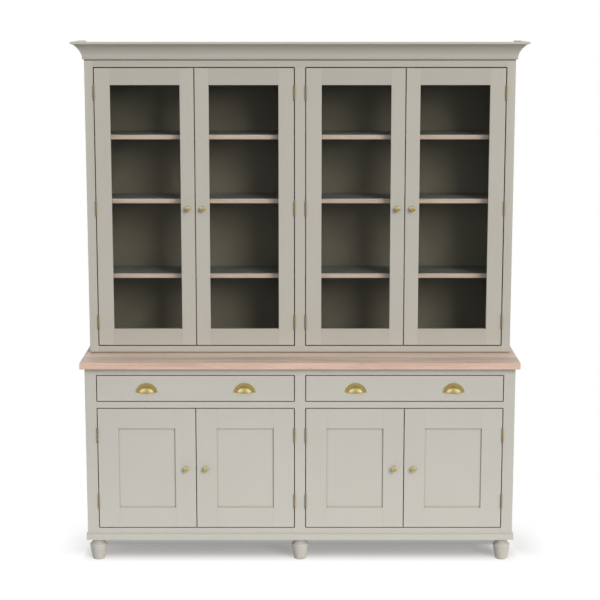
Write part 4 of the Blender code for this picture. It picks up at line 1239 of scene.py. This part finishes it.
def layFloor():
    source = bmesh.new()
    bmesh.ops.create_grid(source, x_segments=1, y_segments=1, size=studio["floorHalf"])
    material, tree, shader = startFinish("paperFloor", {"gloss": 0.0})
    shader["Roughness"].default_value = 1.0
    shader["Emission Strength"].default_value = 1.0
    rays = addNode(tree, "ShaderNodeLightPath")
    seen = calc("MAXIMUM", rays["Is Camera Ray"], rays["Is Transmission Ray"])
    # the paper lies near the dresser, and a darker floor round it
    place = objectSpot(tree)
    paper = spread(measure("LENGTH", place), *studio["paperReach"], 1.0, 0.0)
    greys = [spread(paper, 0.0, 1.0, *studio[label]) for label in ("floorGreys", "mirrorGreys")]
    grey = spread(rays["Is Glossy Ray"], 0.0, 1.0, *greys)
    # the shadow that is seen: the lamps' shadow, lifted and partly painted over with a glowing painted shadow
    # under the dresser, and fading to white round it
    x, y, _ = apart(place)
    tones, paintedShadowGreys = [depthRamp(y, column) for column in (1, 2)]
    beside = spread(calc("ABSOLUTE", x), *studio["sideX"])
    middleX, coreX, coreY = studio["sideCore"]
    out = calc("MAXIMUM", 0.0, calc("ABSOLUTE", x - middleX) - coreX)
    away = measure("LENGTH", joined(out, calc("MAXIMUM", 0.0, coreY - y), 0.0))
    sideKept = spread(away, *studio["sideFade"], 1.0, 0.0) * spread(x, *studio["sideKept"])
    underKept = spread(y, *studio["fadeFront"], 1.0, 0.0)
    kept = spread(beside, 0.0, 1.0, underKept, sideKept) * spread(y, *studio["fadeBack"], 1.0, 0.0)
    # painted shadow: set greys that glow, more of them deeper under the dresser
    paintedShadowPart = spread(y, *studio["deepY"], studio["glowShare"], 1.0) * (1.0 - beside)
    shadow = kept * (1.0 - paintedShadowPart) * spread(beside, 0.0, 1.0, tones, 1.0)
    paperAndPaintedShadowGlow = (kept * paintedShadowPart * paintedShadowGreys + (1.0 - kept)) * seen
    feed(shader["Base Color"], blendColour(seen, joined(grey, grey, grey), joined(shadow, shadow, shadow)))
    feed(shader["Emission Color"], joined(paperAndPaintedShadowGlow, paperAndPaintedShadowGlow, paperAndPaintedShadowGlow))
    newPiece("studioFloor", source, [material])


def lightWorld():
    world = bpy.data.worlds.new("studioWorld")
    scene.world = world
    world.use_nodes = True
    tree = world.node_tree
    tree.nodes.clear()
    rays = addNode(tree, "ShaderNodeLightPath")
    through = rays["Is Transmission Ray"] * (1.0 - calc("MINIMUM", rays["Diffuse Depth"], 1.0))
    seen = calc("MAXIMUM", rays["Is Camera Ray"], through)
    # metal and glass mirror the white background, and the room with its soft boxes on the camera's side
    way = addNode(tree, "ShaderNodeTexCoord")["Generated"]
    _, across, up = apart(way)
    horizon = spread(calc("ABSOLUTE", up), *studio["horizon"], studio["horizonGrey"], studio["roomGrey"])
    room = spread(across, *studio["roomEdge"], horizon, 1.0)
    for turn, height, strength in studio["boxes"]:
        facing = measure("DOT_PRODUCT", way, wayTo(turn, height))
        room = room + spread(facing, *studio["boxEdge"], 0.0, strength)
    plain = (1, 1, 1, 1)
    soft, mirrored, white = [
        addNode(tree, "ShaderNodeBackground", {"Color": colour, "Strength": strength})[0]
        for colour, strength in ((studio["ambientColour"], studio["ambient"]), (plain, room), (plain, 1.0))
    ]
    unseen = addNode(tree, "ShaderNodeMixShader", {0: rays["Is Glossy Ray"], 1: soft, 2: mirrored})[0]
    whole = addNode(tree, "ShaderNodeMixShader", {0: seen, 1: unseen, 2: white})[0]
    addNode(tree, "ShaderNodeOutputWorld", {"Surface": whole})


def hangLamps():
    for name, lamp in studio["lamps"].items():
        data = bpy.data.lights.new(name, "AREA")
        data.shape = "RECTANGLE"
        data.size, data.size_y = lamp["size"]
        data.energy = lamp["power"]
        data.color = lamp["colour"]
        hung = standing(name, data)
        hung.visible_glossy = False
        way = wayTo(lamp["turn"], lamp["height"])
        hung.location = Vector(studio["aim"]) + way * lamp["distance"]
        hung.rotation_euler = (-way).to_track_quat("-Z", "Y").to_euler()


def standCamera():
    data = bpy.data.cameras.new("camera")
    data.lens = studio["camera"]["lens"]
    data.sensor_width = studio["camera"]["sensor"]
    camera = standing("camera", data)
    camera.location = studio["camera"]["place"]
    camera.rotation_euler = (math.radians(studio["camera"]["tilt"]), 0, 0)
    scene.camera = camera


layFloor()
lightWorld()
hangLamps()
standCamera()
scene.view_settings.view_transform = "Standard"
print("floor, light and camera set")
